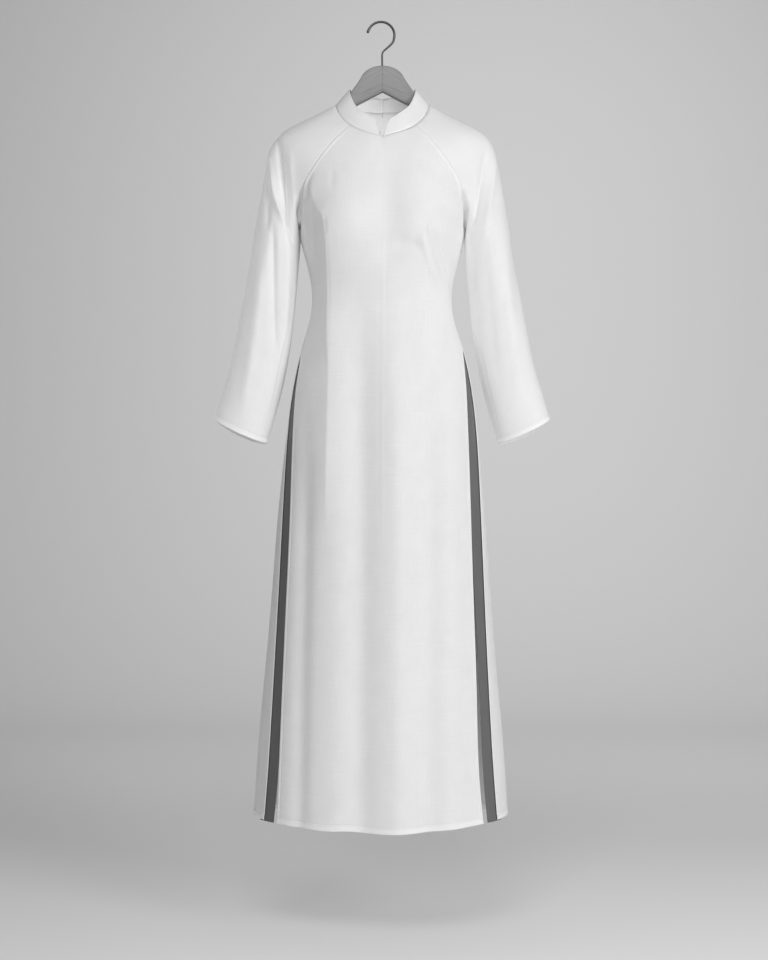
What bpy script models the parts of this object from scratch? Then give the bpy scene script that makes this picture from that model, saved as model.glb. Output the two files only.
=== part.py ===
"""An ao dai tunic, filled out as it is worn and held by its wooden hanger.

The frame has +Z up, +X to the viewer's right and +Y towards the back of the garment. The origin is the
inner crown of the hanger's hook, where a rail carries it. Sizes are in millimetres, and MM turns them
into metres where a mesh is made. Heights are below the origin, so they are negative.
"""

import bmesh
import bpy
import numpy as np

MM = 0.001

# Cloth: its wall, the doubled collar's, the insets', the gap along a seam and the gap between layers
WALL = 1.5
COLLAR_WALL = 1.8
INSET_WALL = 1.0
SEAM_GAP = 0.4
COLLAR_FOOT_GAP = 0.64
LAYER_GAP = 0.9

# Heights that the whole cut is built on, and how far each hem's middle hangs below its sides
UNDERARM_Z = -371.0
SLIT_TOP_Z = -555.0
HEM_SIDE_Z = -1354.0
FRONT_HEM_RISE = 4.0
FRONT_HEM_BELLY = 11.0
BACK_HEM_BELLY = 7.0

# Neck seam and collar top: half their width, and their reach in front of and behind the shoulder line
NECK_HALF_WIDTH = 79.5
NECK_FRONT = 58.0
NECK_BACK = 58.0
COLLAR_HALF_WIDTH = 57.0
COLLAR_FRONT = 45.0
COLLAR_BACK = 44.0

# Where the raglan seams meet the neck seam, in degrees round from the front centre
RAGLAN_FRONT_ANGLE = 44.0
RAGLAN_BACK_ANGLE = 138.0

# The collar's front notch opens upwards in a curve; its back is split by a hair
NOTCH_HALF_WIDTH = 3.2
NOTCH_FLARE = 8.0
NOTCH_CURVE = 1.5
BACK_SPLIT_HALF = 0.8

# Bust: a soft swell on each side of the front
BUST_X = 76.0
BUST_Z = -342.0
BUST_RADIUS_X = 44.0
BUST_RADIUS_Z = 56.0
BUST_RISE = 9.0

# How the cloth turns at its seams: the drop over which it comes to the neckline, the shoulder's slope
# round the neck, the cap's lean and handles, and the stations over which the seam turns under the arm
NECK_BLEND = 14.0
NECK_FALL = 0.55
NECK_SIDE_LIFT = 1.5
NECK_FADE = 0.35
SEAM_LEAN = 0.62
SEAM_HANDLE = 0.5
RIDGE_HANDLE = 0.62
RING_START = 0.5
TURN_START = 0.6
HALF_RING_HANDLE = 4 / 3
SIDE_MARGIN = 1.5

# The insets are tucked this far behind the back panel's edge
INSET_TUCK = 9.0
INSET_CELLS = 4

# Mesh: cells across and along each cloth piece
PANEL_CELLS_ACROSS = 16
SKIRT_CELLS = 15
BODICE_CELLS = 8
CAP_CELLS = 9
SLEEVE_CELLS = 9
SLEEVE_CELLS_ROUND = 16
COLLAR_CELLS = 16
COLLAR_CELLS_UP = 3
EDGE_CROWDING = 0.36
SLIT_CROWDING = 1.4
SLOPE_REACH = 0.5


def table(names, rows):
    """Rows of numbers as one array for each named column."""
    return dict(zip(names, np.array(rows, float).T))


# The figure under the cloth, level by level: half its width, its depth in front of and behind the
# shoulder line, and how square its section is (2 is an ellipse)
BODY = table(
    ("height", "half_width", "front", "back", "square"),
    [
        (-1380, 218.5, 137, 118, 1.90),
        (-1202, 206.8, 131, 115, 1.92),
        (-1123, 199.6, 128, 113, 1.94),
        (-986, 188.0, 122, 110, 1.97),
        (-884, 180.8, 117, 108, 2.00),
        (-812, 174.8, 114, 106, 2.02),
        (-754, 168.9, 111, 105, 2.05),
        (-701, 163.0, 108, 103, 2.08),
        (-646, 156.0, 104, 99, 2.10),
        (-600, 148.2, 99, 91, 2.12),
        (-550, 135.0, 92, 78, 2.15),
        (-510, 122.5, 86, 67, 2.20),
        (-473, 118.0, 84, 63, 2.20),
        (-439, 121.6, 89, 68, 2.20),
        (-405, 130.4, 96, 76, 2.20),
        (-371, 139.4, 101, 84, 2.20),
        (-341, 146.0, 102, 88, 2.20),
        (-309, 152.0, 97, 91, 2.20),
        (-280, 156.0, 90, 91, 2.20),
        (-250, 158.5, 80, 88, 2.20),
        (-215, 160.0, 65, 82, 2.20),
        (-182, 152.0, 44, 73, 2.20),
        (-160, 124.0, 28, 66, 2.10),
        (-140, 80.5, 12, 58, 2.00),
    ],
)

# The neck by angle from the front centre: the seam's height and the collar's top edge
NECK = table(
    ("angle", "seam", "top"),
    [
        (0, -203.0, -178.0),
        (20, -194.6, -167.6),
        (36, -186.3, -157.0),
        (52, -174.0, -146.5),
        (67, -160.0, -131.3),
        (90, -140.0, -114.0),
        (120, -138.5, -114.0),
        (150, -140.0, -118.0),
        (180, -141.0, -121.0),
    ],
)

# The raglan sleeve's cap, section by section from the neck to the underarm: its front seam, its ridge
# over the shoulder and its back seam
CAP = table(
    ("station", "front_x", "front_z", "ridge_x", "ridge_y", "ridge_z", "back_x", "back_z"),
    [
        (0.00, 55.2, -180.8, 79.5, 0, -140.0, 53.2, -139.3),
        (0.15, 87.5, -215.0, 126.0, 4, -162.6, 84.0, -192.0),
        (0.32, 113.5, -250.0, 168.0, 6, -185.0, 111.0, -240.0),
        (0.48, 131.4, -280.0, 190.5, 5, -213.5, 130.0, -276.0),
        (0.64, 138.7, -309.0, 202.5, 3, -266.0, 138.4, -309.0),
        (0.82, 140.2, -341.0, 211.0, 1, -315.0, 140.0, -341.0),
        (1.00, 139.4, UNDERARM_Z, 217.5, 0, -350.0, 139.4, UNDERARM_Z),
    ],
)

# The sleeve below the underarm: its inner and outer edge, the middle of its depth, half its depth, and
# how far its front and its back dip below the line between the edges
SLEEVE = table(
    (
        "station", "inner_x", "inner_z", "outer_x", "outer_z", "middle_y", "half_depth", "front_dip",
        "back_dip",
    ),
    [
        (0.00, 139.4, UNDERARM_Z, 217.5, -350.0, 0, 56, 0, 0),
        (0.20, 144.8, -439.0, 227.0, -415.0, -2, 51, 0, 0),
        (0.45, 153.4, -527.0, 243.0, -503.0, -5, 45, 1, 2),
        (0.70, 167.5, -614.0, 260.0, -589.0, -9, 40, 3, 5),
        (0.85, 180.5, -666.0, 272.6, -633.0, -12, 37, 4, 8),
        (1.00, 196.0, -718.0, 285.0, -677.0, -15, 34, 5, 10),
    ],
)

# The slits, level by level: the front panel's edge, the back panel's edge and the inset's front edge,
# and how far to the side the front panel and the whole skirt hang
SLIT = table(
    ("height", "front_edge", "back_edge", "inset_edge", "front_sway", "skirt_sway"),
    [
        (-1380, 171.0, 198.5, 183.5, -3.0, -3.0),
        (-1281, 167.6, 190.5, 174.0, -2.9, -2.9),
        (-1148, 163.0, 182.6, 168.0, -2.7, -2.7),
        (-982, 157.0, 174.4, 158.5, -2.6, -1.8),
        (-814, 151.0, 166.8, 149.5, -2.4, -1.0),
        (-730, 148.4, 162.6, 144.0, -2.8, -0.6),
        (-661, 145.6, 157.0, 140.0, -2.6, -0.4),
        (-620, 142.9, 151.0, 137.0, -1.8, -0.2),
        (-586, 138.9, 144.0, 134.0, -0.8, 0.0),
        (-555, 135.6, 136.6, 130.0, 0.0, 0.0),
    ],
)

# Hanger, as one half from its centre joint: the head's edge, the shoulder, the tip and the underside
HANGER_THICKNESS = 14.0
HANGER_ROUNDING = 3.0
HANGER_HEAD = [(0, -73.6), (15, -76), (30, -84.5), (38.5, -97), (47, -109.5), (54, -120), (61, -131.5)]
HANGER_SHOULDER = [(70, -141), (84, -148.6), (105, -158.4), (131, -171), (156, -184.5)]
HANGER_TIP = [(164.5, -190.5), (168, -196.5), (164, -202.5)]
HANGER_UNDER_APEX_Z = -118.3
HANGER_UNDER_SLOPE = 0.5206
HANGER_UNDER_END_X = 158.0
HANGER_JOINT_GAP = 0.3
SHARP_ANGLE = 40.0

# Hook: the wire, the loop, the bend below it and the stem into the wood
WIRE_DIAMETER = 3.8
HOOK_RADIUS = 23.0
HOOK_CENTRE_X = -2.6
HOOK_CENTRE_Z = -21.0
HOOK_TIP_ANGLE = 170.0
HOOK_NECK_ANGLE = -15.0
HOOK_TURNS = 24
HOOK_BEND = [(19.6, -27.5), (17.2, -33.4), (9.7, -41.2), (1.9, -48.2)]
HOOK_STEM = [(-0.5, -54.4), (-0.5, -64.0), (-0.5, -73.3)]

# The closures: each one's centre and size
FRONT_BEAD = ((-1.3, -60.4, -198.6), (3.8, 3.6, 5.6))
BACK_HOOK = ((0.0, 54.0, -145.4), (2.4, 2.0, 2.0))
BACK_LOOP = ((0.0, 55.0, -149.4), (2.6, 2.0, 2.0))


def clear_scene():
    """Removes whatever the new file starts with."""
    for item in list(bpy.data.objects):
        bpy.data.objects.remove(item, do_unlink=True)


def material(name, colour, roughness):
    """A plain finish of one colour."""
    made = bpy.data.materials.new(name)
    made.use_nodes = True
    shader = made.node_tree.nodes["Principled BSDF"]
    shader.inputs["Base Color"].default_value = (*colour, 1.0)
    shader.inputs["Roughness"].default_value = roughness
    return made


def smooth_curve(xs, ys):
    """The natural cubic spline through the points, as a function."""
    order = np.argsort(xs)
    xs = np.asarray(xs, float)[order]
    ys = np.asarray(ys, float)[order]
    step = np.diff(xs)
    slope = np.diff(ys) / step
    system = np.eye(len(xs))
    right = np.zeros(len(xs))
    for i in range(1, len(xs) - 1):
        system[i, i - 1 : i + 2] = step[i - 1], 2 * (step[i - 1] + step[i]), step[i]
        right[i] = 6 * (slope[i] - slope[i - 1])
    bend = np.linalg.solve(system, right)

    def value(x):
        x = np.clip(np.asarray(x, float), xs[0], xs[-1])
        i = np.clip(np.searchsorted(xs, x) - 1, 0, len(xs) - 2)
        left = x - xs[i]
        rest = xs[i + 1] - x
        cubic = (bend[i] * rest**3 + bend[i + 1] * left**3) / (6 * step[i])
        low = (ys[i] / step[i] - bend[i] * step[i] / 6) * rest
        high = (ys[i + 1] / step[i] - bend[i + 1] * step[i] / 6) * left
        return cubic + low + high

    return value


def curves_of(columns, key):
    """Each column of a table as a smooth curve over its key column."""
    return {name: smooth_curve(columns[key], column) for name, column in columns.items() if name != key}


body = curves_of(BODY, "height")
neck = curves_of(NECK, "angle")
cap = curves_of(CAP, "station")
sleeve = curves_of(SLEEVE, "station")
slit = curves_of(SLIT, "height")


def smooth_step(x):
    """0 below 0, 1 above 1 and a soft rise between."""
    x = np.clip(x, 0.0, 1.0)
    return x * x * (3 - 2 * x)


def neck_seam(degrees):
    """The neckline's point at an angle from the front centre."""
    angle = np.radians(degrees)
    reach = np.where(np.cos(angle) > 0, NECK_FRONT, NECK_BACK)
    return np.stack([NECK_HALF_WIDTH * np.sin(angle), -reach * np.cos(angle), neck["seam"](degrees)], -1)


def collar_top(degrees):
    """The collar's top edge at an angle from the front centre."""
    angle = np.radians(degrees)
    reach = np.where(np.cos(angle) > 0, COLLAR_FRONT, COLLAR_BACK)
    return np.stack([COLLAR_HALF_WIDTH * np.sin(angle), -reach * np.cos(angle), neck["top"](degrees)], -1)


def figure_y(x, z, side):
    """How far the cloth stands from the shoulder line at a point of the front (-1) or back (+1) view."""
    share = np.minimum(np.abs(x) / body["half_width"](z), 1.0)
    square = body["square"](z)
    depth = body["front" if side < 0 else "back"](z)
    y = depth * (1 - share**square) ** (1 / square)
    if side < 0:
        across = (np.abs(x) - BUST_X) / BUST_RADIUS_X
        up = (z - BUST_Z) / BUST_RADIUS_Z
        y = y + BUST_RISE * np.exp(-(across**2) - up**2) * (1 - share**6)
    return side * y


def cloth_y(x, z, side):
    """figure_y, brought to the neckline near the neck."""
    sine = np.minimum(np.abs(x) / NECK_HALF_WIDTH, 1.0)
    degrees = np.degrees(np.arcsin(sine))
    seam = neck_seam(degrees if side < 0 else 180 - degrees)
    miss = seam[..., 1] - figure_y(x, seam[..., 2], side)
    return figure_y(x, z, side) + miss * np.exp(-np.maximum(seam[..., 2] - z, 0.0) / NECK_BLEND)


def cloth_point(x, z, side):
    """The points of the cloth at these places of the front or back view."""
    x, z = np.broadcast_arrays(np.asarray(x, float), np.asarray(z, float))
    return np.stack([x, cloth_y(x, z, side), z], -1)


def unit(vectors):
    """The vectors at length 1."""
    return vectors / np.maximum(np.linalg.norm(vectors, axis=-1, keepdims=True), 1e-9)


def cloth_slopes(x, z, side):
    """How fast the cloth's depth changes across and upwards."""
    reach = SLOPE_REACH
    by_x = (cloth_y(x + reach, z, side) - cloth_y(x - reach, z, side)) / (2 * reach)
    by_z = (cloth_y(x, z + reach, side) - cloth_y(x, z - reach, side)) / (2 * reach)
    return by_x, by_z


def cloth_normal(x, z, side):
    """Outward from the cloth."""
    by_x, by_z = cloth_slopes(x, z, side)
    return unit(side * np.stack([-by_x, np.ones_like(by_x), -by_z], -1))


def hem_z(x, side):
    """The hem's height: each panel is a little longer in the middle than at its sides."""
    share = np.minimum(np.abs(x) / body["half_width"](HEM_SIDE_Z), 1.0)
    if side < 0:
        return HEM_SIDE_Z + FRONT_HEM_RISE - FRONT_HEM_BELLY * (1 - share**2)
    return HEM_SIDE_Z - BACK_HEM_BELLY * (1 - share**2)


def raglan_seam(station, side):
    """The raglan seam's points, of the sleeve at +X."""
    which = "front" if side < 0 else "back"
    x = cap[which + "_x"](station)
    z = cap[which + "_z"](station)
    reached = np.minimum(x, body["half_width"](z))
    return cloth_point(reached, z, side)


def raglan_normal(station, side):
    """The seam's outward direction, shared by the two pieces it joins; straight down at the underarm."""
    points = raglan_seam(station, side)
    inside = np.minimum(points[..., 0], body["half_width"](points[..., 2]) - SIDE_MARGIN)
    out = cloth_normal(inside, points[..., 2], side)
    share = smooth_step((np.asarray(station) - TURN_START) / (1 - TURN_START))[..., None]
    return unit(out * (1 - share) + np.array([0.0, 0.0, -1.0]) * share)


def grid_faces(rows, columns):
    """The quads of a grid of points, row by row."""
    return [
        (r * columns + c, r * columns + c + 1, (r + 1) * columns + c + 1, (r + 1) * columns + c)
        for r in range(rows - 1)
        for c in range(columns - 1)
    ]


def turned(faces, way):
    """The faces as they are, or wound the other way round when way is positive."""
    return [face[::-1] for face in faces] if way > 0 else faces


def grid_normals(points, faces):
    """The area-weighted normal at each point of a grid."""
    flat = points.reshape(-1, 3)
    normals = np.zeros_like(flat)
    for face in faces:
        corners = flat[list(face)]
        normals[list(face)] += np.cross(corners[2] - corners[0], corners[3] - corners[1])
    return unit(normals).reshape(points.shape)


def cloth_shell(name, points, faces, normals, wall, finish):
    """A closed wall of cloth: the outer face as given, the inner one a wall behind it, and rims between."""
    outer = points.reshape(-1, 3)
    inner = outer - normals.reshape(-1, 3) * wall
    used = sorted({index for face in faces for index in face})
    number = {old: new for new, old in enumerate(used)}
    faces = [tuple(number[index] for index in face) for face in faces]
    edges = {edge for face in faces for edge in zip(face, face[1:] + face[:1])}
    count = len(used)
    rims = [(b, a, a + count, b + count) for a, b in sorted(edges) if (b, a) not in edges]
    backs = [tuple(index + count for index in reversed(face)) for face in faces]
    return solid(name, np.vstack([outer[used], inner[used]]), faces + backs + rims, finish)


def solid(name, points, faces, finish):
    """One named body in triangles, its faces outward."""
    mesh = bpy.data.meshes.new(name)
    mesh.from_pydata((np.asarray(points) * MM).tolist(), [], [list(face) for face in faces])
    shaped = bmesh.new()
    shaped.from_mesh(mesh)
    bmesh.ops.triangulate(shaped, faces=shaped.faces, quad_method="SHORT_EDGE")
    if shaped.calc_volume(signed=True) < 0:
        bmesh.ops.reverse_faces(shaped, faces=shaped.faces)
    shaped.to_mesh(mesh)
    shaped.free()
    mesh.shade_smooth()
    mesh.materials.append(finish)
    made = bpy.data.objects.new(name, mesh)
    bpy.context.collection.objects.link(made)
    return made


def crowded(cells):
    """Stations from -1 to 1 that lie closer together towards both ends."""
    even = np.linspace(-1.0, 1.0, cells + 1)
    return even * (1 + EDGE_CROWDING * (1 - even**2))


def panel_row(edge_left, edge_right, level, side, neck_share=0.0, hem_share=0.0):
    """One row of a panel between its two edges, sampled by angle so that the sides stay round."""
    half_width = body["half_width"](level)
    first = -np.arcsin(min(edge_left / half_width, 1.0))
    last = np.arcsin(min(edge_right / half_width, 1.0))
    x = half_width * np.sin((first + last) / 2 + (last - first) / 2 * crowded(PANEL_CELLS_ACROSS))
    z = np.full(x.shape, level)
    if hem_share > 0:
        z = z + hem_share * (hem_z(x, side) - HEM_SIDE_Z)
    if neck_share > 0:
        start = neck_seam(RAGLAN_FRONT_ANGLE if side < 0 else RAGLAN_BACK_ANGLE)
        sine = np.abs(x) / max(edge_right, edge_left) * start[0] / NECK_HALF_WIDTH
        degrees = np.degrees(np.arcsin(np.minimum(sine, 1.0)))
        seam_z = neck_seam(degrees if side < 0 else 180 - degrees)[..., 2]
        z = z + neck_share * (seam_z - start[2])
    return cloth_point(x, z, side)


def skirt_levels():
    """The heights of the skirt's rows, closer together towards the top of the slits."""
    share = 1 - np.linspace(1.0, 0.0, SKIRT_CELLS + 1) ** SLIT_CROWDING
    return HEM_SIDE_Z + (SLIT_TOP_Z - HEM_SIDE_Z) * share


def hung_aside(points):
    """The points of the skirt, moved to the side that it hangs to."""
    points[..., 0] += np.where(points[..., 2] < SLIT_TOP_Z, slit["skirt_sway"](points[..., 2]), 0.0)
    return points


def panel(name, side, finish):
    """The front or back panel, from its hem past the slits and side seams to the raglan seams and neck."""
    rows = []
    for level in skirt_levels():
        hem_share = ((SLIT_TOP_Z - level) / (SLIT_TOP_Z - HEM_SIDE_Z)) ** 2
        if side < 0:
            edge = float(slit["front_edge"](level))
            sway = float(slit["front_sway"](level))
            rows.append(panel_row(edge - sway, edge + sway, level, side, hem_share=hem_share))
        else:
            rows.append(wrapped_back_row(float(slit["back_edge"](level)), level, hem_share))
    for share in np.linspace(0.0, 1.0, BODICE_CELLS + 1)[1:]:
        level = SLIT_TOP_Z + (UNDERARM_Z - SLIT_TOP_Z) * share
        edge = float(body["half_width"](level))
        rows.append(panel_row(edge, edge, level, side))
    stations = np.linspace(1.0, 0.0, CAP_CELLS + 1)
    for station in stations[1:]:
        edge, _, level = raglan_seam(station, side)
        rows.append(panel_row(edge, edge, level, side, neck_share=(1 - station) ** 2))
    points = hung_aside(np.array(rows))
    faces = turned(grid_faces(*points.shape[:2]), side)
    normals = grid_normals(points, faces)
    underarm = SKIRT_CELLS + BODICE_CELLS
    for column, way in ((0, -1.0), (-1, 1.0)):
        normals[SKIRT_CELLS:underarm, column] = (way, 0.0, 0.0)
        normals[underarm:, column] = raglan_normal(stations, side) * (way, 1.0, 1.0)
    normals[-1] = neck_mitre(neck_angles(points[-1], side))
    pull_in(points[SKIRT_CELLS:])
    return cloth_shell(name, points, faces, normals, WALL, finish)


def wrapped_back_row(edge, level, hem_share):
    """A skirt row of the back panel, whose sides come forward past the silhouette to the slit's edge."""
    half_width = float(body["half_width"](level))
    wrap = np.arccos(min(edge / half_width, 1.0))
    angles = (np.pi / 2 + wrap) * crowded(PANEL_CELLS_ACROSS)
    x = half_width * np.sin(angles)
    side = np.where(np.abs(angles) > np.pi / 2, -1.0, 1.0)
    z = level + hem_share * np.where(side > 0, hem_z(x, 1) - HEM_SIDE_Z, hem_z(x, -1) - HEM_SIDE_Z)
    y = np.where(side > 0, figure_y(x, z, 1), figure_y(x, z, -1))
    return np.stack([x, y, z], -1)


def neck_angles(row, side):
    """The angles round the neck at which a panel's top row stands."""
    degrees = np.degrees(np.arcsin(np.clip(row[:, 0] / NECK_HALF_WIDTH, -1.0, 1.0)))
    return degrees if side < 0 else np.sign(degrees) * (180 - np.abs(degrees))


def collar_normal(degrees):
    """Outward from the collar's face, at its foot."""
    turn = np.abs(degrees)
    along = neck_seam(turn + SLOPE_REACH) - neck_seam(turn - SLOPE_REACH)
    out = unit(np.cross(along, collar_top(turn) - neck_seam(turn)))
    out[..., 0] *= np.where(degrees < 0, -1.0, 1.0)
    return out


def neck_mitre(degrees):
    """The shared direction of the neck seam, halfway between the collar's face and the shoulder's."""
    angle = np.radians(degrees)
    lift = NECK_FALL + NECK_SIDE_LIFT * np.sin(angle) ** 2
    shoulder = unit(np.stack([np.sin(angle), -np.cos(angle), lift], -1))
    return unit(shoulder + collar_normal(degrees))


def pull_in(points):
    """Draws the side edges of the rows back from their seams by half a gap."""
    for edge, neighbour in ((0, 1), (-1, -2)):
        points[:, edge] += unit(points[:, neighbour] - points[:, edge]) * SEAM_GAP / 2


def bezier(p0, p1, p2, p3, share):
    """Points of the cubic curve with these ends and handles."""
    rest = 1 - share
    return rest**3 * p0 + 3 * rest**2 * share * p1 + 3 * rest * share**2 * p2 + share**3 * p3


def cap_half(station, side, shares):
    """A cap section from the raglan seam at share 0 to the shoulder's ridge at share 1.

    Near the neck it leaves the panel in the panel's own slope; near the underarm it turns into half a ring.
    """
    seam = raglan_seam(station, side)
    ridge = np.array([cap["ridge_x"](station), cap["ridge_y"](station), cap["ridge_z"](station)])
    inside = min(seam[0], float(body["half_width"](seam[2])) - SIDE_MARGIN)
    by_x, by_z = cloth_slopes(inside, seam[2], side)
    run = ridge - seam
    rise = np.clip(SEAM_LEAN * (by_x * run[0] + by_z * run[2]), -abs(run[1]), abs(run[1]))
    ring = smooth_step((station - RING_START) / (1 - RING_START))
    reach = (float(sleeve["half_depth"](0.0)) - abs(run[1]) / 2) * HALF_RING_HANDLE
    open_start = seam + SEAM_HANDLE * np.array([run[0], rise, run[2]])
    closed_start = seam + np.array([0.0, side * reach, 0.0])
    open_end = ridge + np.array([0.0, RIDGE_HANDLE * (seam[1] - ridge[1]), 0.0])
    closed_end = ridge + np.array([0.0, side * reach, 0.0])
    start = open_start + (closed_start - open_start) * ring
    end = open_end + (closed_end - open_end) * ring
    return bezier(seam, start, end, ridge, shares[:, None])


def whole_cap(station):
    """The cap's front half and back half as one line, with the ridge's point once."""
    shares = np.linspace(0.0, 1.0, SLEEVE_CELLS_ROUND // 2 + 1)
    return np.vstack([cap_half(station, -1, shares), cap_half(station, 1, shares)[-2::-1]])


def cap_angles():
    """The angles round the neck at which the sleeve's top row stands."""
    shares = np.linspace(0.0, 1.0, SLEEVE_CELLS_ROUND // 2 + 1)
    front = RAGLAN_FRONT_ANGLE + (90 - RAGLAN_FRONT_ANGLE) * shares
    back = 90 + (RAGLAN_BACK_ANGLE - 90) * shares[1:]
    return np.concatenate([front, back])


def cap_section(station):
    """One section of the cap at +X, from the front raglan seam over the ridge to the back seam."""
    fade = smooth_step(1 - station / NECK_FADE)
    return whole_cap(station) + (neck_seam(cap_angles()) - whole_cap(0.0)) * fade


def sleeve_section(station):
    """A closed ring of the sleeve, from its inner edge round the front to the back."""
    inner = np.array([sleeve["inner_x"](station), sleeve["middle_y"](station), sleeve["inner_z"](station)])
    outer = np.array([sleeve["outer_x"](station), sleeve["middle_y"](station), sleeve["outer_z"](station)])
    depth = float(sleeve["half_depth"](station)) * HALF_RING_HANDLE
    shares = np.linspace(0.0, 1.0, SLEEVE_CELLS_ROUND // 2 + 1)[:, None]
    forward = np.array([0.0, -depth, 0.0])
    front = bezier(inner, inner + forward, outer + forward, outer, shares)
    back = bezier(inner, inner - forward, outer - forward, outer, shares)
    dip = np.sin(np.pi * shares) * unit(np.cross(outer - inner, forward))
    front = front + dip * sleeve["front_dip"](station)
    back = back + dip * sleeve["back_dip"](station)
    return np.vstack([front, back[-2::-1]])


def raglan_sleeve(name, way, finish):
    """A sleeve: its cap between the raglan seams, then a tube closed by the underarm seam."""
    stations = np.linspace(0.0, 1.0, CAP_CELLS + 1)
    sections = [cap_section(station) for station in stations]
    sections += [sleeve_section(station) for station in np.linspace(0.0, 1.0, SLEEVE_CELLS + 1)[1:]]
    points = np.array(sections)
    index = np.arange(points[..., 0].size).reshape(points.shape[:2])
    index[CAP_CELLS:, -1] = index[CAP_CELLS:, 0]
    ends = index.ravel().tolist()
    faces = [tuple(ends[i] for i in reversed(face)) for face in grid_faces(*points.shape[:2])]
    normals = grid_normals(points, faces)
    normals[: CAP_CELLS + 1, 0] = raglan_normal(stations, -1)
    normals[: CAP_CELLS + 1, -1] = raglan_normal(stations, 1)
    normals[0] = neck_mitre(cap_angles())
    pull_in(points[:CAP_CELLS])
    points[CAP_CELLS, 0] += (SEAM_GAP, 0.0, -SEAM_GAP)
    points[..., 0] *= way
    normals[..., 0] *= way
    return cloth_shell(name, points, turned(faces, -way), normals, WALL, finish)


def collar_half(name, way, finish):
    """Half of the standing band, from the curved front notch to the split at the back of the neck."""
    rows = []
    for up in np.linspace(0.0, 1.0, COLLAR_CELLS_UP + 1):
        half_width = NECK_HALF_WIDTH + (COLLAR_HALF_WIDTH - NECK_HALF_WIDTH) * up
        notch = NOTCH_HALF_WIDTH + NOTCH_FLARE * up**NOTCH_CURVE
        first = np.degrees(np.arcsin(notch / half_width))
        last = 180 - np.degrees(np.arcsin(BACK_SPLIT_HALF / half_width))
        degrees = np.linspace(first, last, COLLAR_CELLS + 1)
        foot = neck_seam(degrees)
        top = collar_top(degrees)
        foot = foot + unit(top - foot) * COLLAR_FOOT_GAP
        rows.append(foot + (top - foot) * up)
        if up == 0:
            foot_normals = neck_mitre(degrees)
    points = np.array(rows)
    faces = grid_faces(*points.shape[:2])
    normals = grid_normals(points, faces)
    normals[0] = foot_normals
    points[..., 0] *= way
    normals[..., 0] *= way
    return cloth_shell(name, points, turned(faces, -way), normals, COLLAR_WALL, finish)


def slit_inset(name, way, finish):
    """The dark strip inside the back panel's slit edge, reaching forward under the front panel."""
    rows = []
    for level in skirt_levels()[:-1]:
        half_width = float(body["half_width"](level))
        front = float(slit["inset_edge"](level))
        back = min(float(slit["back_edge"](level)) + INSET_TUCK, half_width - SEAM_GAP)
        angles = np.linspace(np.arcsin(front / half_width), np.arcsin(back / half_width), INSET_CELLS + 1)
        x = half_width * np.sin(angles)
        z = np.full(x.shape, level)
        out = cloth_normal(np.minimum(x, half_width - SIDE_MARGIN), z, -1)
        rows.append(np.stack([x, figure_y(x, z, -1), z], -1) - out * (WALL + LAYER_GAP))
    points = np.array(rows)
    faces = grid_faces(*points.shape[:2])
    normals = grid_normals(points, faces)
    points[..., 0] *= way
    normals[..., 0] *= way
    return cloth_shell(name, hung_aside(points), turned(faces, -way), normals, INSET_WALL, finish)


def bead(name, centre, size, finish):
    """A small round closure piece."""
    shaped = bmesh.new()
    bmesh.ops.create_uvsphere(shaped, u_segments=12, v_segments=8, radius=0.5)
    points = [np.array(vert.co) * np.array(size) + np.array(centre) for vert in shaped.verts]
    shaped.verts.index_update()
    faces = [[vert.index for vert in face.verts] for face in shaped.faces]
    shaped.free()
    return solid(name, points, faces, finish)


def hanger_half(name, way, finish):
    """One arm of the hanger, cut from a board, with its long edges rounded."""
    outline = HANGER_HEAD + HANGER_SHOULDER + HANGER_TIP
    under_end_z = HANGER_UNDER_APEX_Z - HANGER_UNDER_SLOPE * HANGER_UNDER_END_X
    outline = outline + [(HANGER_UNDER_END_X, under_end_z)]
    outline = outline + [(0, HANGER_UNDER_APEX_Z)]
    outline = [(max(x, HANGER_JOINT_GAP / 2), z) for x, z in outline]
    half = HANGER_THICKNESS / 2
    count = len(outline)
    points = [(way * x, y, z) for y in (-half, half) for x, z in outline]
    faces = [list(range(count)), list(range(2 * count - 1, count - 1, -1))]
    faces += [[i, i + count, (i + 1) % count + count, (i + 1) % count] for i in range(count)]
    mesh = bpy.data.meshes.new(name)
    mesh.from_pydata([(x * MM, y * MM, z * MM) for x, y, z in points], [], faces)
    shaped = bmesh.new()
    shaped.from_mesh(mesh)
    bmesh.ops.recalc_face_normals(shaped, faces=shaped.faces)
    joint = HANGER_JOINT_GAP * MM
    rounded = [
        edge
        for edge in shaped.edges
        if abs(edge.verts[0].co.y - edge.verts[1].co.y) < joint / 10
        and max(abs(vert.co.x) for vert in edge.verts) > joint
    ]
    bmesh.ops.bevel(shaped, geom=rounded, offset=HANGER_ROUNDING * MM, segments=2, affect="EDGES")
    bmesh.ops.triangulate(shaped, faces=shaped.faces)
    shaped.to_mesh(mesh)
    shaped.free()
    mesh.shade_smooth()
    mesh.set_sharp_from_angle(angle=np.radians(SHARP_ANGLE))
    mesh.materials.append(finish)
    made = bpy.data.objects.new(name, mesh)
    bpy.context.collection.objects.link(made)
    return made


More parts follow.
